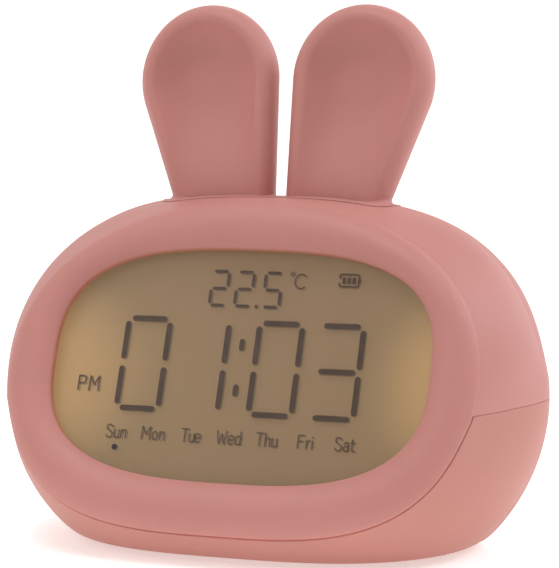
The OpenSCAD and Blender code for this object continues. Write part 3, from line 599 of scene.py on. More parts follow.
def flat_back(m, P, k0, zc, y):
    """closes a half ring of the back onto the middle point with rows that stay in the flat"""
    c = np.array([0, y, zc])
    f = [0.985, 0.9, 0.6, 0.25]
    n = len(P)
    rows = [c + (P - c) * q for q in f]
    for r in rows:
        r[:, 1] = y
    first = len(m.V)
    for r in rows:
        m.V.extend([tuple(map(float, p)) for p in r])
    ids = [list(range(k0, k0 + n))] + [list(range(first + i * n, first + (i + 1) * n)) for i in range(len(f))]
    for a, b in zip(ids[:-1], ids[1:]):
        for j in range(n - 1):
            m.F.append((a[j], a[j + 1], b[j + 1], b[j]))
    ci = len(m.V)
    m.V.append((0, float(y), float(zc)))
    for j in range(n - 1):
        m.F.append((ids[-1][j], ids[-1][j + 1], ci))
    return [i[0] for i in ids] + [ci], [i[-1] for i in ids] + [ci]


BEAD = 3.4


def bead(q):
    return BEAD * np.maximum(4 * q * (1 - q), 0) ** 0.75


def front_shell():
    ts = 2 * (np.arange(NT + 1) / NT) ** 1.5
    up, dropu = columns(0, False)
    lo, _ = columns(0, True)
    loop = np.concatenate([up[:-1], lo[:-1]])
    nu, M = len(up) - 1, len(up) + len(lo) - 2
    K = S(0, loop)
    kl = unface(K)
    al = np.arctan2(kl[:, 1] - 0.4, kl[:, 0])
    wx, wy = win(al)

    def pt(q, h):
        return face_pt(mix(wx, kl[:, 0], q), mix(wy, kl[:, 1], q), q * kl[:, 2] + h)

    outer = [pt(0, -1.6), pt(0, -0.8), pt(0, -0.25), pt(0.004, -0.06)]
    qs = 0.5 * (1 - np.cos(np.linspace(0, math.pi, 46)))[1:-1]
    qs = qs[qs > 0.006]
    outer += [pt(q, bead(q)) for q in qs]
    outer.append(K)
    inner = [pt(0.80, -0.6), pt(0.62, 0.9), pt(0.45, 0.9), pt(0.36, -1.6)]
    m = Mesh()
    A = []
    for r in outer:
        A.append(len(m.V))
        m.V.extend([tuple(map(float, p)) for p in r])
    # dome rows, outside and inside
    D, E = [A[-1]], []
    rowsD, rowsE = [], []
    for i, t in enumerate(ts):
        e = min(1.0, t / 0.02)
        P, Q = shell_row(t, False, SEAM, edge=e)
        rowsD.append(P)
        rowsE.append(Q)
    Kin = np.concatenate([shell_row(0, False, SEAM, 0)[1][:-1], shell_row(0, True, SEAM, 0)[1][:-1]])
    n0 = normal(0, loop)
    Kin = K - n0 * WALL
    B = [len(m.V)]
    m.V.extend([tuple(map(float, p)) for p in Kin])
    for r in inner:
        B.append(len(m.V))
        m.V.extend([tuple(map(float, p)) for p in r])
    ncol = nu + 1
    for P in rowsD[1:]:
        D.append(len(m.V))
        m.V.extend([tuple(map(float, p)) for p in P])
    E = [B[0]]
    for Q in rowsE[1:]:
        E.append(len(m.V))
        m.V.extend([tuple(map(float, p)) for p in Q])

    def loopq(a, b, lo_, hi_):
        for j in range(lo_, hi_):
            k = (j + 1) % M
            m.F.append((a + j, a + k, b + k, b + j))

    for a, b in zip(A[:-1], A[1:]):
        loopq(a, b, 0, M)
    for a, b in zip(B[:-1], B[1:]):
        loopq(a, b, 0, M)
    loopq(B[-1], A[0], 0, M)
    loopq(A[-1], B[0], nu, M)
    for rows, in_ in ((D, False), (E, True)):
        for a, b in zip(rows[:-1], rows[1:]):
            for j in range(nu):
                q = (a + j, a + j + 1, b + j + 1, b + j)
                m.F.append(q if not in_ else q[::-1])
    r1, r2 = flat_back(m, rowsD[-1], D[-1], SEAM, YB)
    s1, s2 = flat_back(m, rowsE[-1], E[-1], SEAM, YB - WALL)
    # rims along the seam
    for a, b, c, d in zip(D[:-1], D[1:], E[:-1], E[1:]):
        m.F.append((a, b, d, c))
        m.F.append((b + nu, a + nu, c + nu, d + nu))
    for x, y_ in ((r1, s1), (r2, s2)):
        for a, b, c, d in zip(x[:-1], x[1:], y_[:-1], y_[1:]):
            m.F.append((a, b, d, c))
    return m


def lower_shell():
    m = Mesh()
    t0 = 0.0140
    sp = 34.0  # mm of depth per unit of t near the ring
    small = DD[:6] / sp
    ts = np.concatenate([t0 + small, t0 + small[-1] + (2 - t0 - small[-1]) * (np.arange(1, NT + 1) / NT) ** 1.35])
    extra = np.concatenate([edge_drop(DD[:6]), np.zeros(NT)])
    zt = SEAM - 0.44
    R = [shell_row(t, True, zt, 1.0, ex) for t, ex in zip(ts, extra)]
    n = len(R[0][0])
    D, E = [], []
    for P, _ in R:
        D.append(len(m.V))
        m.V.extend([tuple(map(float, p)) for p in P])
    for _, Q in R:
        E.append(len(m.V))
        m.V.extend([tuple(map(float, p)) for p in Q])
    for a, b in zip(D[:-1], D[1:]):
        for j in range(n - 1):
            m.F.append((a + j, a + j + 1, b + j + 1, b + j))
    for a, b in zip(E[:-1], E[1:]):
        for j in range(n - 1):
            m.F.append((a + j + 1, a + j, b + j, b + j + 1))
    for j in range(n - 1):
        m.F.append((D[0] + j + 1, D[0] + j, E[0] + j, E[0] + j + 1))
    r1, r2 = flat_back(m, R[-1][0], D[-1], zt, YB)
    s1, s2 = flat_back(m, R[-1][1], E[-1], zt, YB - WALL)
    for a, b, c, d in zip(D[:-1], D[1:], E[:-1], E[1:]):
        m.F.append((a, b, d, c))
        m.F.append((b + n - 1, a + n - 1, c + n - 1, d + n - 1))
    for x, y_ in ((r1, s1), (r2, s2)):
        for a, b, c, d in zip(x[:-1], x[1:], y_[:-1], y_[1:]):
            m.F.append((a, b, d, c))
    return m


BTN_X = (-22.5, -7.5, 7.5, 22.5)
BTN_Z, SL_Z, USB_X, USB_Z, SPK_X, SPK_Z = 54.0, 62.5, -17.0, 25.0, 10.0, 26.0

front = front_shell().make("Housing_Front", PINK, "case", replaces=("front_housing",), slot="pink_plastic")
st = stadium(67.3, 16.3, 40)
cuts = [[np.stack([st[:, 0], EAR_Y + st[:, 1], np.full(len(st), z)], -1) for z in (76.0, 110.0)]]
cuts += [disc_rows(4.65, x, BTN_Z, YB - 5, YB + 3) for x in BTN_X]
w, h = 3.8, 1.8
rc = []
for y in (YB - 5, YB + 3):
    pts = []
    for cx, cz, a0 in ((w - 0.5, h - 0.5, 0), (-w + 0.5, h - 0.5, 90), (-w + 0.5, -h + 0.5, 180), (w - 0.5, -h + 0.5, 270)):
        for a in np.linspace(a0, a0 + 90, 7):
            pts.append((cx + 0.5 * math.cos(a * RAD), y, SL_Z + cz + 0.5 * math.sin(a * RAD)))
    rc.append(np.array(pts))
cuts.append(rc)
cut(front, cuts)

# painted glow and shade on the window lip's inner wall: a darker red-brown colour and a weak amber emission stand in
# for the panel's lamp light falling on the recessed pink plastic
LIP_GLOW_SHADE = plastic("lip_painted_glow_shade_look", (0.46, 0.17, 0.11), rough=0.5, var=0.03, grain=0.2, spec=0.3)
pr = [n for n in LIP_GLOW_SHADE.node_tree.nodes if n.type == "BSDF_PRINCIPLED"][0]
pr.inputs["Emission Color"].default_value = (0.12, 0.050, 0.022, 1.0)
pr.inputs["Emission Strength"].default_value = 0.22
front.data.materials.append(LIP_GLOW_SHADE)
cc = np.empty(len(front.data.polygons) * 3)
front.data.polygons.foreach_get("center", cc)
cl_ = unface(cc.reshape(-1, 3) * 1000)
wx, wy = win(np.arctan2(cl_[:, 1] - 0.4, cl_[:, 0]))
on_lip = (cl_[:, 2] > -1.8) & (cl_[:, 2] < -0.12) & (np.hypot(cl_[:, 0] - wx, cl_[:, 1] - wy) < 0.3)
print("lip faces", int(on_lip.sum()))
for i in np.nonzero(on_lip)[0]:
    front.data.polygons[int(i)].material_index = len(front.data.materials) - 1

# the lower shell takes the painted shaded, warm copy of the pink plastic
lower = lower_shell().make("Housing_Lower", PINK_SHADED_WARM, "case", replaces=("lower_housing",), slot="pink_plastic")
st = stadium(9.3, 3.6, 20)
cuts = [[np.stack([USB_X + st[:, 0], np.full(len(st), y), USB_Z + st[:, 1]], -1) for y in (YB - 6, YB + 3)]]
holes = [(0, 0)] + [(3.4, a) for a in range(0, 360, 60)] + [(6.8, a) for a in range(15, 360, 30)]
cuts += [disc_rows(0.8, SPK_X + r * math.cos(a * RAD), SPK_Z + r * math.sin(a * RAD), YB - 5, YB + 3, 32) for r, a in holes]
cuts += [disc_rows_z(4.6, s * 30, y, -3, FOOT + 0.8) for s in (-1, 1) for y in (-9, 20)]
cuts += [disc_rows_z(3.2, s * x, y, -3, 6) for s in (-1, 1) for x, y in ((44, 10), (34, 27))]
cut(lower, cuts)



def seam_tongue(depth=0.38):
    """the tongue of the upper housing that closes the parting line from inside"""
    m = Mesh()
    ends = []
    for side in (1, -1):
        rows = []
        for t in np.linspace(0.0, 2.0, 110):
            s = float(seam_th(t))
            va = float(np.linalg.norm(S(t, s + 0.5) - S(t, s)) / 0.5)
            th = np.array([s - 1.3 / va, s - 0.2 / va, s + 0.9 / va])
            if side < 0:
                th = 180 - th
            P = S(t, th) - normal(t, th) * depth
            P[:, 1] = np.minimum(P[:, 1], YB - depth)
            rows.append(P)
        m.rows(rows, False)
        ends.append(rows[-1])
    m.rows([mix(ends[0], ends[1], w_) for w_ in np.linspace(0, 1, 8)], False)
    return m


def ring_tongue(depth=0.22):
    """the same tongue where the parting line runs under the ring"""
    m = Mesh()
    s = float(seam_th(0.0))
    th = np.linspace(180 - s, 360 + s, 2 * NLO)
    return m.rows([S(t, th) - normal(t, th) * depth for t in (0.0, 0.004, 0.008, 0.012, 0.02, 0.03)], False)


# painted red glow in the parting line: the tongue's saturated red colour and red emission stand in for light bounced
# inside the gap
TONGUE_GLOW = plastic("seam_tongue_painted_glow_look", (0.62, 0.19, 0.15), rough=0.6, var=0.03, grain=0.2, spec=0.2)
pr = [n for n in TONGUE_GLOW.node_tree.nodes if n.type == "BSDF_PRINCIPLED"][0]
pr.inputs["Emission Color"].default_value = (0.20, 0.034, 0.026, 1.0)
pr.inputs["Emission Strength"].default_value = 1.0
seam_tongue().make("Housing_Tongue", TONGUE_GLOW, "case", flip=False, slot="pink_plastic")
# painted shade in the parting line under the ring: the strip's dark red colour stands in for the shade inside the gap
ring_tongue().make("Ring_Tongue", plastic("ring_tongue_painted_shade_look", (0.44, 0.115, 0.090), rough=0.6, var=0.03, grain=0.2, spec=0.1), "case", flip=False, slot="pink_plastic")

# ------------------------------------------------------------------ ears
def ear_path(n=1):
    """outline the rim runs along, with the outward direction at each point"""
    P = []
    for w_ in np.linspace(0, 1, 10 * n, endpoint=False):
        v = mix(-4.0, 26.2, w_)
        x = 34.3 - (26.2 - v) * 0.38
        P.append((x, v, 0.935, -0.355))
    for i in range(44 * n + 1):
        p = (-21.9 + i * (180 + 21.9) / (44 * n)) * RAD
        q = np.array([math.cos(p) / 13.5, math.sin(p) / 14.25])
        q /= np.linalg.norm(q)
        P.append((21.8 + 13.5 * math.cos(p), 31.5 + 14.25 * math.sin(p), q[0], q[1]))
    for w_ in np.linspace(0, 1, 12 * n + 1)[1:]:
        v = mix(31.5, -4.0, w_)
        P.append((mix(8.3, 7.8, min(1, w_ * 1.1)), v, -1.0, 0.0))
    return np.array(P)


def ear3(x, v, h, s):
    c, sn = math.cos(EAR_T * RAD), math.sin(EAR_T * RAD)
    x, v, h = np.broadcast_arrays(np.asarray(x, float), np.asarray(v, float), np.asarray(h, float))
    return np.stack([s * x, EAR_Y + v * sn - h * c, EAR_Z + v * c + h * sn], -1)


RIM_A, RIM_R = 52.0, 2.0
FALL = 8.8


def hollow(v):
    """how far the ear's front falls from its rim at height v: depth, rim angle, rim end and bottom"""
    w_ = np.clip((np.asarray(v, float) + 1) / 28, 0, 1)
    dep = 5.0 * (0.13 + 0.87 * w_ * w_ * (3 - 2 * w_))
    a2 = 90 + np.degrees(np.arctan(2 * dep / FALL))
    ge = (6 - RIM_R) * math.cos(RIM_A * RAD) + RIM_R * np.cos(a2 * RAD)
    he = (6 - RIM_R) * math.sin(RIM_A * RAD) + RIM_R * np.sin(a2 * RAD)
    return dep, a2, ge, he - dep


def ear_mesh(s):
    P = ear_path(2)
    N = len(P)
    nb = 14
    # the flat underside joins the last point to the first
    xb = np.linspace(P[-1, 0], P[0, 0], nb + 2)[1:-1]
    ub = np.linspace(-1, 0.935, nb + 2)[1:-1]
    base = np.stack([xb, np.full(nb, -4.0), ub, np.zeros(nb)], -1)
    P = np.concatenate([P, base])
    flag = np.concatenate([np.zeros(N), np.ones(nb)])
    P[0, 3] = P[N - 1, 3] = 0.0
    cx, cv = 20.5, 24.0
    dep, a2, ge, _ = hollow(P[:, 1])
    edge = P[:, :2] + ge[:, None] * P[:, 2:]
    line = edge[:N]
    rows = []
    for q in np.concatenate([np.linspace(0.04, 0.4, 6, endpoint=False), np.linspace(0.4, 0.985, 30)]):
        x, v = mix(cx, edge[:, 0], q), mix(cv, edge[:, 1], q)
        # distance to the rim, without the foot, where the hollow runs out
        ab = line[1:] - line[:-1]
        pa = np.stack([x, v], -1)[:, None] - line[None, :-1]
        w_ = np.clip((pa * ab).sum(-1) / (ab * ab).sum(-1), 0, 1)
        d = np.linalg.norm(pa - w_[..., None] * ab, axis=-1).min(1)
        dl, _, _, hb = hollow(v)
        rows.append(ear3(x, v, hb + dl * np.maximum(1 - d / FALL, 0) ** 2, s))
    for w_ in np.linspace(1, 0, 16)[:-1]:
        a = (RIM_A + (a2 - RIM_A) * w_) * RAD
        g = (6 - RIM_R) * math.cos(RIM_A * RAD) + RIM_R * np.cos(a)
        hh = (6 - RIM_R) * math.sin(RIM_A * RAD) + RIM_R * np.sin(a)
        rows.append(ear3(P[:, 0] + g * P[:, 2], P[:, 1] + g * P[:, 3], hh, s))
    for a in np.concatenate([np.linspace(RIM_A, 0, 14), np.linspace(-6, -75.5, 14)]):
        g = 6 * math.cos(a * RAD)
        rows.append(ear3(P[:, 0] + g * P[:, 2], P[:, 1] + g * P[:, 3], 6 * math.sin(a * RAD), s))
    for g, hh in ((1.5, -5.0), (1.5, -4.4)):
        rows.append(ear3(P[:, 0] + g * P[:, 2], P[:, 1] + g * P[:, 3], hh, s))
    m = Mesh()
    m.rows(rows, True, True, True)
    return m


for s, nm in ((1, "Ear_Right"), (-1, "Ear_Left")):
    ear_mesh(s).make(nm, PINK, "ears", replaces=("ear_key",) if s == 1 else (), slot="pink_plastic", sharp=50)

# flange slab: its top is flush with the dome, with a small rounded edge
m = Mesh()
rows = []
rr_ = 0.14
steps = [(0.0, 6.0), (0.0, rr_)] + [(rr_ * (1 - math.cos(a * RAD)), rr_ * (1 - math.sin(a * RAD))) for a in (15, 30, 45, 60, 75, 90)]
for d, drop in steps + [(d, 0) for d in (0.4, 0.8, 1.4, 2.2, 3.1, 4.1, 5.2, 6.3, 7.2, 7.6)]:
    o2 = stadium(66.5, 15.5, 64, d)
    rows.append(np.stack([o2[:, 0], EAR_Y + o2[:, 1], dome_z(o2[:, 0], EAR_Y + o2[:, 1]) + 0.1 + 0.16 * math.exp(-d / 1.5) - drop], -1))
rows[0][:, 2] = 84.5
m.rows(rows, True, True, True)
m.make("Ear_Flange", PINK, "ears", slot="pink_plastic")


def ear_fillet(s):
    """rounded corner between the foot of an ear and the flange, wider at the outer side"""
    L = []
    for a in np.linspace(-75, 90, 30):
        L.append((23.95 + 6.42 * math.cos(a * RAD), 6 * math.sin(a * RAD), math.cos(a * RAD), math.sin(a * RAD), 0.45 + 0.6 * max(math.cos(a * RAD), 0) ** 1.5))
    for w_ in np.linspace(0, 1, 18)[1:-1]:
        L.append((mix(23.95, 7.9, w_), 6 - 0.12 * math.sin(math.pi * w_) ** 0.7, 0.0, 1.0, 0.45))
    for a in np.linspace(90, 255, 26):
        L.append((7.9 + 6 * math.cos(a * RAD), 6 * math.sin(a * RAD), math.cos(a * RAD), math.sin(a * RAD), 0.45))
    for w_ in np.linspace(0, 1, 16)[1:-1]:
        L.append((mix(6.4, 25.6, w_), -5.78, 0.0, -1.0, 0.45))
    L = np.array(L)
    tan = math.tan(EAR_T * RAD)
    rows = []
    lean = np.arctan(0.38 * np.clip(L[:, 2], 0, 1) * (L[:, 0] > 20))
    r = L[:, 4]
    for w_ in np.linspace(0, 1, 11):
        ph = mix(math.pi - lean, 1.5 * math.pi, w_)
        off = r * (1 + np.sin(lean)) * np.tan(lean) + r * np.cos(lean) + r * np.cos(ph)
        up = r + r * np.sin(ph)
        x = L[:, 0] + L[:, 2] * off
        y = EAR_Y - (L[:, 1] + L[:, 3] * off)
        z = dome_z(s * x, y) + 0.1 + up
        rows.append(np.stack([s * x, y + (z - EAR_Z) * tan, z], -1))
    inner = rows[0].copy()
    c = np.array([s * 16.2, EAR_Y])
    inner[:, :2] = c + (inner[:, :2] - c) * 0.93
    low = inner - np.array([0, 0, 3.0])
    out = rows[-1] - np.array([0, 0, 0.8])
    m = Mesh()
    m.rows([low, inner] + rows + [out], True, True, True)
    return m


for s, nm in ((1, "EarFoot_Right"), (-1, "EarFoot_Left")):
    ear_fillet(s).make(nm, PINK, "ears", slot="pink_plastic", sharp=50)

# inset back panels of the ears
for s, nm in ((1, "EarBack_Right"), (-1, "EarBack_Left")):
    P = ear_path(2)
    N = len(P)
    P = P[P[:, 1] >= 1.6]
    xb = np.linspace(P[-1, 0], P[0, 0], 12)[1:-1]
    base = np.stack([xb, np.full(10, 1.6), np.linspace(-1, 0.935, 12)[1:-1], np.zeros(10)], -1)
    P = np.concatenate([P, base])
    rows = []
    for g, hh in ((1.3, -4.5), (1.3, -5.5), (1.15, -5.72), (0.9, -5.82), (0.4, -5.84), (-3, -5.84)):
        rows.append(ear3(P[:, 0] + g * P[:, 2], P[:, 1] + g * P[:, 3], hh, s))
    m = Mesh()
    m.rows(rows, True, True, True)
    # the ear backs take the painted shaded, warm copy of the pink plastic
    m.make(nm, PINK_SHADED_WARM, "ears", replaces=("ear_backs",) if s == 1 else (), slot="pink_plastic")

# ------------------------------------------------------------------ display
lens = frame["nodes"]["display_lens"]
lens.data.materials.clear()
lens.data.materials.append(WINDOW)

al = np.linspace(0, 2 * math.pi, 160, endpoint=False)
m = Mesh()
for g, z in ((1.7, -6.0),):
    x, y = win(al, g)
    m.rows([face_pt(x, y, z), face_pt(x, y, z + 1.3), face_pt(*win(al, g - 0.15), z + 1.45), face_pt(*win(al, -20), z + 1.45)], True, True, True)
m.make("Panel", PANEL, "case", replaces=("lcd_glass",), slot="panel_glass")
# the tray round the panel
m = Mesh()
rows = []
for g, z in ((1.9, -10.8), (1.9, -3.35), (2.0, -3.25), (3.4, -3.25), (3.5, -3.35), (3.5, -11.1), (3.4, -11.2), (2.0, -11.2)):
    rows.append(face_pt(*win(al, g), z))
m.rows(rows + [rows[0]], True)
for s in (-1, 1):
    for v in (-12, 12):
        b = [(s * 54.9 + 3.0 * i, v + 4.3 * j) for i, j in ((-1, -1), (1, -1), (1, 1), (-1, 1))]
        m.rows([face_pt([q[0] for q in b], [q[1] for q in b], z) for z in (-11.2, -9.7)], True, True, True)
m.make("Panel_Tray", TRAY, "case", replaces=("lcd_frame",), slot="white_plastic")


class Marks:
    def __init__(self):
        self.m, self.k = Mesh(), 0

    def ribbon(self, pts, w, closed=False, round_end=True, z=-3.42):
        """flat stroke of width w along pts on the panel, with round or square ends"""
        pts = np.asarray(pts, float)
        z += 0.003 * self.k
        self.k = (self.k + 1) % 12
        n = len(pts)
        if closed:
            t = np.roll(pts, -1, 0) - np.roll(pts, 1, 0)
        else:
            t = np.gradient(pts, axis=0)
        t /= np.linalg.norm(t, axis=1, keepdims=True)
        nn = np.stack([-t[:, 1], t[:, 0]], -1)
        # keep the stroke's width round a corner
        k = np.ones(n)
        for i in range(1, n - 1):
            a, b = pts[i] - pts[i - 1], pts[i + 1] - pts[i]
            c = np.dot(a, b) / (np.linalg.norm(a) * np.linalg.norm(b) + 1e-12)
            k[i] = 1 / max(0.6, math.sqrt(max(0.01, (1 + c) / 2)))
        L, R = pts + nn * (w / 2 * k)[:, None], pts - nn * (w / 2 * k)[:, None]
        V, F = self.m.V, self.m.F
        f = len(V)
        for a, b in zip(L, R):
            V.append(tuple(face_pt(a[0], a[1], z)))
            V.append(tuple(face_pt(b[0], b[1], z)))
        m_ = n if closed else n - 1
        for i in range(m_):
            j = (i + 1) % n
            F.append((f + 2 * i, f + 2 * i + 1, f + 2 * j + 1, f + 2 * j))
        if round_end and not closed:
            for c, d, a, b in ((pts[0], -t[0], f, f + 1), (pts[-1], t[-1], f + 2 * n - 1, f + 2 * n - 2)):
                a0 = math.atan2(d[1], d[0])
                ring = [c + w / 2 * np.array([math.cos(a0 + q), math.sin(a0 + q)]) for q in np.linspace(-math.pi / 2, math.pi / 2, 9)[1:-1]]
                g = len(V)
                for r in ring:
                    V.append(tuple(face_pt(r[0], r[1], z)))
                # the ring runs from one side of the stroke to the other
                p0 = np.array(unface(np.array(V[a]))[:2])
                ids = list(range(g, g + len(ring)))
                if np.linalg.norm(ring[0] - p0) > np.linalg.norm(ring[-1] - p0):
                    a, b = b, a
                F.append((a, *ids, b))
        return self

    def disc(self, x, y, r, z=-3.42, n=28):
        a = np.linspace(0, 2 * math.pi, n, endpoint=False)
        f = len(self.m.V)
        for q in a:
            self.m.V.append(tuple(face_pt(x + r * math.cos(q), y + r * math.sin(q), z)))
        self.m.F.append(tuple(range(f, f + n)))
        return self

    def make(self, name, mat, shade=True, **k):
        if shade:
            # painted shadow: the same outlines again, just off the panel behind
            q = Mesh()
            f = unface(np.asarray(self.m.V, float))
            q.V = [tuple(map(float, v)) for v in face_pt(f[:, 0], f[:, 1], -4.50 + (f[:, 2] + 3.42))]
            q.F = list(self.m.F)
            q.make(name.replace("Marks", "Shade"), SHADE, "case", flip=False, slot="dark_marks")
        return self.m.make(name, mat, "case", flip=False, slot="dark_marks", **k)


def chaikin(p, k=3, closed=False):
    p = np.asarray(p, float)
    for _ in range(k):
        if closed:
            q = np.roll(p, -1, 0)
            p = np.stack([0.75 * p + 0.25 * q, 0.25 * p + 0.75 * q], 1).reshape(-1, 2)
        else:
            a, b = p[:-1], p[1:]
            mid = np.stack([0.75 * a + 0.25 * b, 0.25 * a + 0.75 * b], 1).reshape(-1, 2)
            p = np.concatenate([p[:1], mid[1:-1], p[-1:]])
    return p


def digit(M_, cx, on, hw, tx, ys, vx, v1, v2, w_, rnd=True):
    top, mid, bot = ys
    seg = {"a": [(cx - tx, top), (cx + tx, top)], "g": [(cx - tx, mid), (cx + tx, mid)], "d": [(cx - tx, bot), (cx + tx, bot)],
           "f": [(cx - vx, v1[0]), (cx - vx, v1[1])], "b": [(cx + vx, v1[0]), (cx + vx, v1[1])],
           "e": [(cx - vx, v2[0]), (cx - vx, v2[1])], "c": [(cx + vx, v2[0]), (cx + vx, v2[1])]}
    for k in on:
        a, b = np.array(seg[k][0]), np.array(seg[k][1])
        M_.ribbon([a, (a + b) / 2, b], w_, round_end=rnd)


big = Marks()
for cx, on in ((-27.35, "abcdef"), (-10.83, "bc"), (9.33, "abcdef"), (25.87, "abcdg")):
    digit(big, cx, on, 5.87, 4.15, (12.64, 0.57, -11.6), 5.85, (11.0, 2.25), (-1.1, -9.95), 1.52)
big.ribbon([(-0.68, 7.5), (-0.72, 5.75)], 1.42)
big.ribbon([(-0.80, -4.6), (-0.84, -6.4)], 1.42)
big.make("Marks_Time", MARK, replaces=("lcd_segments",))

small = Marks()
for cx, on in ((-9.1, "abged"), (-2.1, "abged"), (5.65, "afgcd")):
    digit(small, cx, on, 2.25, 1.45, (26.2, 21.56, 16.99), 2.25, (25.35, 22.6), (20.8, 17.95), 0.86)
small.make("Marks_Temperature", MARK)
Marks().disc(1.76, 17.04, 0.46).make("Marks_Point", MARK_RED)
Marks().disc(-32.09, -22.15, 0.78).make("Marks_Day", MARK_DOT)

GL = {
    "S": (1.65, [([(1.60, 2.85), (1.35, 3.3), (0.8, 3.5), (0.1, 3.2), (0.05, 2.3), (0.8, 1.8), (1.65, 1.3), (1.75, 0.3), (0.95, -0.1), (0.3, 0.05), (0.0, 0.5)], 1)]),
    "u": (1.32, [([(0, 2.15), (0, 0.5), (0.2, -0.05), (0.75, -0.05), (1.3, 0.35), (1.3, 0.9)], 1), ([(1.3, 2.15), (1.3, 0)], 0)]),
    "n": (1.32, [([(0, 2.15), (0, 0)], 0), ([(0, 1.3), (0.15, 1.95), (0.75, 2.25), (1.25, 2.1), (1.3, 1.3), (1.3, 0)], 1)]),
    "M": (2.35, [([(0, 0), (0.1, 3.4)], 0), ([(0.1, 3.4), (1.18, 1.35)], 0), ([(1.18, 1.35), (2.25, 3.4)], 0), ([(2.25, 3.4), (2.35, 0)], 0)]),
    "o": (1.38, [("ellipse", 0.69, 1.08, 0.69, 1.08)]),
    "T": (1.9, [([(0, 3.4), (1.9, 3.4)], 0), ([(0.95, 3.4), (0.95, 0)], 0)]),
    "e": (1.32, [([(0.0, 1.12), (1.30, 1.12)], 0), ([(1.30, 1.12), (1.38, 2.0), (0.7, 2.3), (0.0, 2.1), (-0.05, 1.1), (0.0, 0.1), (0.75, -0.1), (1.25, 0.3)], 1)]),
    "W": (2.7, [([(0, 3.4), (0.64, 0)], 0), ([(0.64, 0), (1.35, 2.5)], 0), ([(1.35, 2.5), (2.06, 0)], 0), ([(2.06, 0), (2.7, 3.4)], 0)]),
    "d": (1.32, [([(1.3, 3.4), (1.3, 0)], 0), ([(1.3, 1.4), (1.2, 2.1), (0.6, 2.25), (0.0, 2.0), (-0.05, 1.1), (0.0, 0.15), (0.6, -0.08), (1.2, 0.1), (1.3, 0.75)], 1)]),
    "h": (1.32, [([(0, 3.4), (0, 0)], 0), ([(0, 1.3), (0.15, 1.95), (0.75, 2.25), (1.25, 2.1), (1.3, 1.3), (1.3, 0)], 1)]),
    "F": (1.55, [([(0, 0), (0, 3.4)], 0), ([(0, 3.4), (1.6, 3.4)], 0), ([(0, 1.85), (1.35, 1.85)], 0)]),
    "r": (0.75, [([(0, 2.15), (0, 0)], 0), ([(0, 1.2), (0.15, 1.95), (0.85, 2.15)], 1)]),
    "i": (0.1, [([(0, 2.15), (0, 0)], 0), ("dot", 0, 3.05, 0.24)]),
    "a": (1.25, [([(0.1, 1.8), (0.35, 2.15), (1.2, 2.3), (1.25, 1.5), (1.25, 0)], 1), ([(1.25, 1.22), (0.5, 1.25), (0.0, 0.9), (0.0, 0.1), (0.5, -0.08), (1.1, 0.1), (1.25, 0.6)], 1)]),
    "t": (1.05, [([(0.4, 3.0), (0.4, 0.5), (0.45, 0.0), (1.1, 0.02)], 1), ([(0, 2.15), (1.05, 2.15)], 0)]),
    "P": (1.65, [([(0, 0), (0, 3.4)], 0), ([(0, 3.4), (0.9, 3.4), (1.75, 3.3), (1.75, 1.75), (0.9, 1.65), (0, 1.65)], 1)]),
}


def word(M_, txt, x, y, sc, w_, gap=0.62, total=None):
    g = [GL[c] for c in txt]
    if total is not None:
        gap = (total / sc - sum(a for a, _ in g)) / (len(g) - 1)
    for adv, strokes in g:
        for stv in strokes:
            if stv[0] == "ellipse":
                _, cx, cy, rx, ry = stv
                a = np.linspace(0, 2 * math.pi, 36, endpoint=False)
                M_.ribbon(np.stack([x + sc * (cx + rx * np.cos(a)), y + sc * (cy + ry * np.sin(a))], -1), w_, closed=True)
            elif stv[0] == "dot":
                M_.disc(x + sc * stv[1], y + sc * stv[2], sc * stv[3])
            else:
                p = np.array(stv[0], float)
                p = chaikin(p, 3) if stv[1] else np.stack([p[0], (p[0] + p[-1]) / 2, p[-1]]) if len(p) == 2 else p
                M_.ribbon(np.array([x, y]) + sc * p, w_)
        x += sc * (adv + gap)


thin = Marks()
for txt, x0, x1 in (("Sun", -34.9, -29.4), ("Mon", -24.9, -18.6), ("Tue", -13.9, -8.7), ("Wed", -4.1, 2.4), ("Thu", 6.7, 12.3), ("Fri", 17.95, 21.9), ("Sat", 27.9, 33.0)):
    word(thin, txt, x0, -19.65, 0.98, 0.36, total=x1 - x0)
word(thin, "PM", -44.85, -7.45, 1.12, 0.46, total=5.75)
a = np.linspace(0, 2 * math.pi, 24, endpoint=False)
thin.ribbon(np.stack([10.63 + 0.48 * np.cos(a), 26.15 + 0.48 * np.sin(a)], -1), 0.32, closed=True)
a = np.linspace(48, 312, 30) * RAD
thin.ribbon(np.stack([13.2 + 1.66 * np.cos(a), 24.2 + 1.92 * np.sin(a)], -1), 0.40)
# battery mark: outline open in the middle of its left side, three charge bars
bx0, bx1, by0, by1, br = 23.6, 28.75, 23.22, 26.5, 0.5
pts = [(bx0, 24.05)]
for cx, cy, a0 in ((bx0 + br, by0 + br, 180), (bx1 - br, by0 + br, 270), (bx1 - br, by1 - br, 0), (bx0 + br, by1 - br, 90)):
    for q in np.linspace(a0, a0 + 90, 7):
        pts.append((cx + br * math.cos(q * RAD), cy + br * math.sin(q * RAD)))
pts.append((bx0, 25.55))
thin.ribbon(pts, 0.46)
thin.ribbon([(28.95, 24.5), (29.15, 24.86), (29.0, 25.25)], 0.4)
for x in (24.78, 26.14, 27.5):
    thin.ribbon([(x - 0.03, 23.98), (x, 24.85), (x + 0.03, 25.72)], 0.9, round_end=False)
thin.make("Marks_Thin", MARK_THIN)

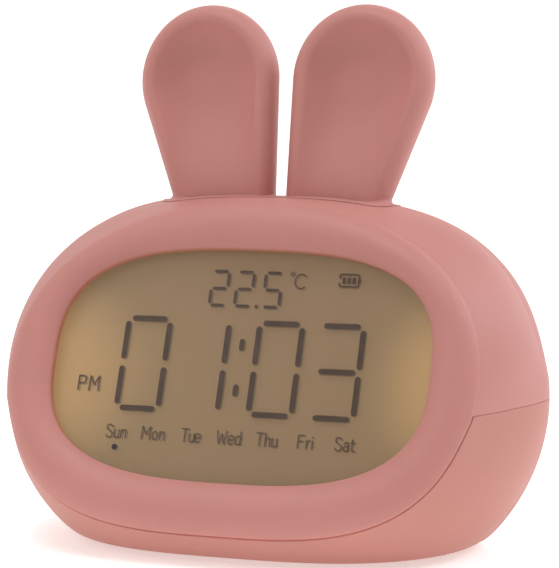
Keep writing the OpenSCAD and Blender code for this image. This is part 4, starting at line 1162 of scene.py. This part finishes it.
# ------------------------------------------------------------------ back controls
for x, nm in zip(BTN_X, ("set", "alarm", "up", "down")):
    m = Mesh()
    r = 4.5
    prof = [(r, -2.6), (r, 0.45)]
    prof += [(r - 0.5 + 0.5 * math.cos(a * RAD), 0.5 + 0.5 * math.sin(a * RAD)) for a in (0, 15, 30, 45, 60, 75, 90)]
    prof += [(r - 1.0, 0.98), (r - 2.0, 0.86), (r - 3.2, 0.76), (0.4, 0.72), (0.05, 0.72)]
    m.lathe(prof, (x, YB, BTN_Z), "y", 96)
    m.lathe([(5.5, -3.3), (5.5, -2.4)], (x, YB, BTN_Z), "y", 64)
    m.make("Button_" + nm.capitalize(), PINK, nm + "_press", replaces=(nm + "_button",), slot="pink_plastic")

# ------------------------------------------------------------------ feet
m = Mesh()
for s in (-1, 1):
    for y in (-9, 20):
        m.lathe([(4.1, 1.6), (4.5, 1.5), (4.5, 0.35), (4.38, 0.1), (4.15, 0.0), (3.2, 0.0), (0.05, 0.0)], (s * 30, y, 0), "z", 72)
m.make("Rubber_Feet", RUBBER, "case", replaces=("rubber_feet",), slot="grey_rubber")

# ------------------------------------------------------------------ looks of the parts that keep their CAD shape
LOOK = {"white_plastic": WHITE, "white_sheet": SHEET, "clear_plastic": SHEET, "circuit_board": BOARD, "lamp": LAMP, "grey_rubber": RUBBER,
        "black_plastic": BLACK, "red_plastic": RED, "steel": STEEL, "foil": FOIL, "pink_plastic": PINK}
for sp in frame["record"]["subparts"]:
    o = frame["nodes"].get(sp["node"])
    mt = LOOK.get(sp["material_slot"])
    if o is not None and mt is not None:
        o.data.materials.clear()
        o.data.materials.append(mt)
        o.data.shade_smooth()
        o.data.set_sharp_from_angle(angle=35 * RAD)

# ------------------------------------------------------------------ floor and backdrop
FLOOR_FRONT = (0.02, 0.02, 0.02)
FLOOR_BACK = (0.45, 0.45, 0.445)


def stage_mesh():
    prof = []
    R, y1 = 0.9, 1.4
    prof.append((-4.0, 0.0))
    prof.append((y1, 0.0))
    for a in np.linspace(0, 90, 24)[1:]:
        prof.append((y1 + R * math.sin(a * RAD), R * (1 - math.cos(a * RAD))))
    prof.append((y1 + R, 4.0))
    V, F = [], []
    for y, z in prof:
        V += [(-5.0, y, z - 0.0002), (5.0, y, z - 0.0002)]
    for i in range(len(prof) - 1):
        F.append((2 * i, 2 * i + 1, 2 * i + 3, 2 * i + 2))
    me = bpy.data.meshes.new("Floor")
    me.from_pydata(V, [], F)
    me.shade_smooth()
    o = bpy.data.objects.new("Floor", me)
    bpy.context.scene.collection.objects.link(o)
    mt, nt, out = new_mat("floor_look")
    tc = nd(nt, "ShaderNodeTexCoord")
    n = nd(nt, "ShaderNodeTexNoise", i_Scale=1.5, i_Detail=2.0)
    nt.links.new(tc.outputs["Object"], n.inputs["Vector"])
    r = ramp(nt, [(0.3, (0.88, 0.88, 0.88)), (0.7, (0.9, 0.9, 0.9))])
    nt.links.new(n.outputs["Fac"], r.inputs["Fac"])
    p = nd(nt, "ShaderNodeBsdfPrincipled")
    p.inputs["Roughness"].default_value = 0.8
    p.inputs["Specular IOR Level"].default_value = 0.1
    nt.links.new(r.outputs["Color"], p.inputs["Base Color"])
    sx = nd(nt, "ShaderNodeSeparateXYZ")
    nt.links.new(tc.outputs["Object"], sx.inputs[0])
    mr = nd(nt, "ShaderNodeMapRange", interpolation_type="SMOOTHSTEP")
    mr.inputs["From Min"].default_value, mr.inputs["From Max"].default_value = -0.16, -0.05
    nt.links.new(sx.outputs["Y"], mr.inputs["Value"])
    er = ramp(nt, [(0.0, FLOOR_FRONT), (1.0, FLOOR_BACK)])
    nt.links.new(mr.outputs["Result"], er.inputs["Fac"])
    nt.links.new(er.outputs["Color"], p.inputs["Emission Color"])
    p.inputs["Emission Strength"].default_value = 1.0
    nt.links.new(p.outputs[0], out.inputs["Surface"])
    me.materials.append(mt)
    o.rotation_euler = (0, 0, 20 * RAD)


stage_mesh()

# ------------------------------------------------------------------ camera
az, el = 20 * RAD, 5.612 * RAD
cam_d = bpy.data.cameras.new("Camera")
cam = bpy.data.objects.new("Camera", cam_d)
bpy.context.scene.collection.objects.link(cam)
cam_d.sensor_width = 36.0
cam_d.lens = 2400 / 568 * 36.0
cam_d.clip_start, cam_d.clip_end = 0.05, 20
cam.location = (0.21879, -0.56901 + Y0 * 0.001, 0.12978 + FOOT * 0.001)
fwd = Vector((-math.sin(az) * math.cos(el), math.cos(az) * math.cos(el), -math.sin(el)))
cam.rotation_mode = "QUATERNION"
cam.rotation_quaternion = fwd.to_track_quat("-Z", "Y")
bpy.context.scene.camera = cam

# ------------------------------------------------------------------ light
world = bpy.data.worlds.new("World")
bpy.context.scene.world = world
world.use_nodes = True
wn = world.node_tree
bg = wn.nodes["Background"]
wc = nd(wn, "ShaderNodeTexCoord")
wd = nd(wn, "ShaderNodeVectorMath", operation="DOT_PRODUCT")
wd.inputs[1].default_value = (0.0, 0.85, 0.35)
wn.links.new(wc.outputs["Generated"], wd.inputs[0])
wr = ramp(wn, [(0.0, (0.066, 0.060, 0.055)), (0.5, (0.750, 0.695, 0.655)), (1.0, (0.05, 0.05, 0.05))])
wm = nd(wn, "ShaderNodeMapRange")
wm.inputs["From Min"].default_value, wm.inputs["From Max"].default_value = -0.92, 0.92
wn.links.new(wd.outputs["Value"], wm.inputs["Value"])
wn.links.new(wm.outputs["Result"], wr.inputs["Fac"])
wn.links.new(wr.outputs["Color"], bg.inputs["Color"])
bg.inputs["Strength"].default_value = 1.0


def area(name, loc, target, size, power, col=(1, 1, 1)):
    l = bpy.data.lights.new(name, "AREA")
    l.shape = "RECTANGLE"
    l.size, l.size_y = size
    l.energy = power
    l.color = col
    o = bpy.data.objects.new(name, l)
    bpy.context.scene.collection.objects.link(o)
    o.location = loc
    o.rotation_mode = "QUATERNION"
    o.rotation_quaternion = (Vector(target) - Vector(loc)).to_track_quat("-Z", "Y")
    return o


area("Key", (0.85, 0.20, 0.95), (0, 0, 0.06), (0.5, 0.5), 4.35, (0.91, 1.0, 1.08))
area("Top_Front", (-0.1, -0.35, 1.3), (0, 0, 0.06), (0.6, 0.6), 5.85, (0.97, 1.0, 1.03))
area("Front_Left", (-0.6, -0.9, 0.8), (0, 0, 0.06), (0.6, 0.6), 1.5)
area("Back_Right", (0.8, 0.9, 0.5), (0, 0, 0.06), (0.6, 0.6), 2.85, (0.955, 1.0, 1.09))

vs = bpy.context.scene.view_settings
vs.view_transform = "Standard"
vs.look = "None"
vs.exposure = 0.0
vs.gamma = 1.0
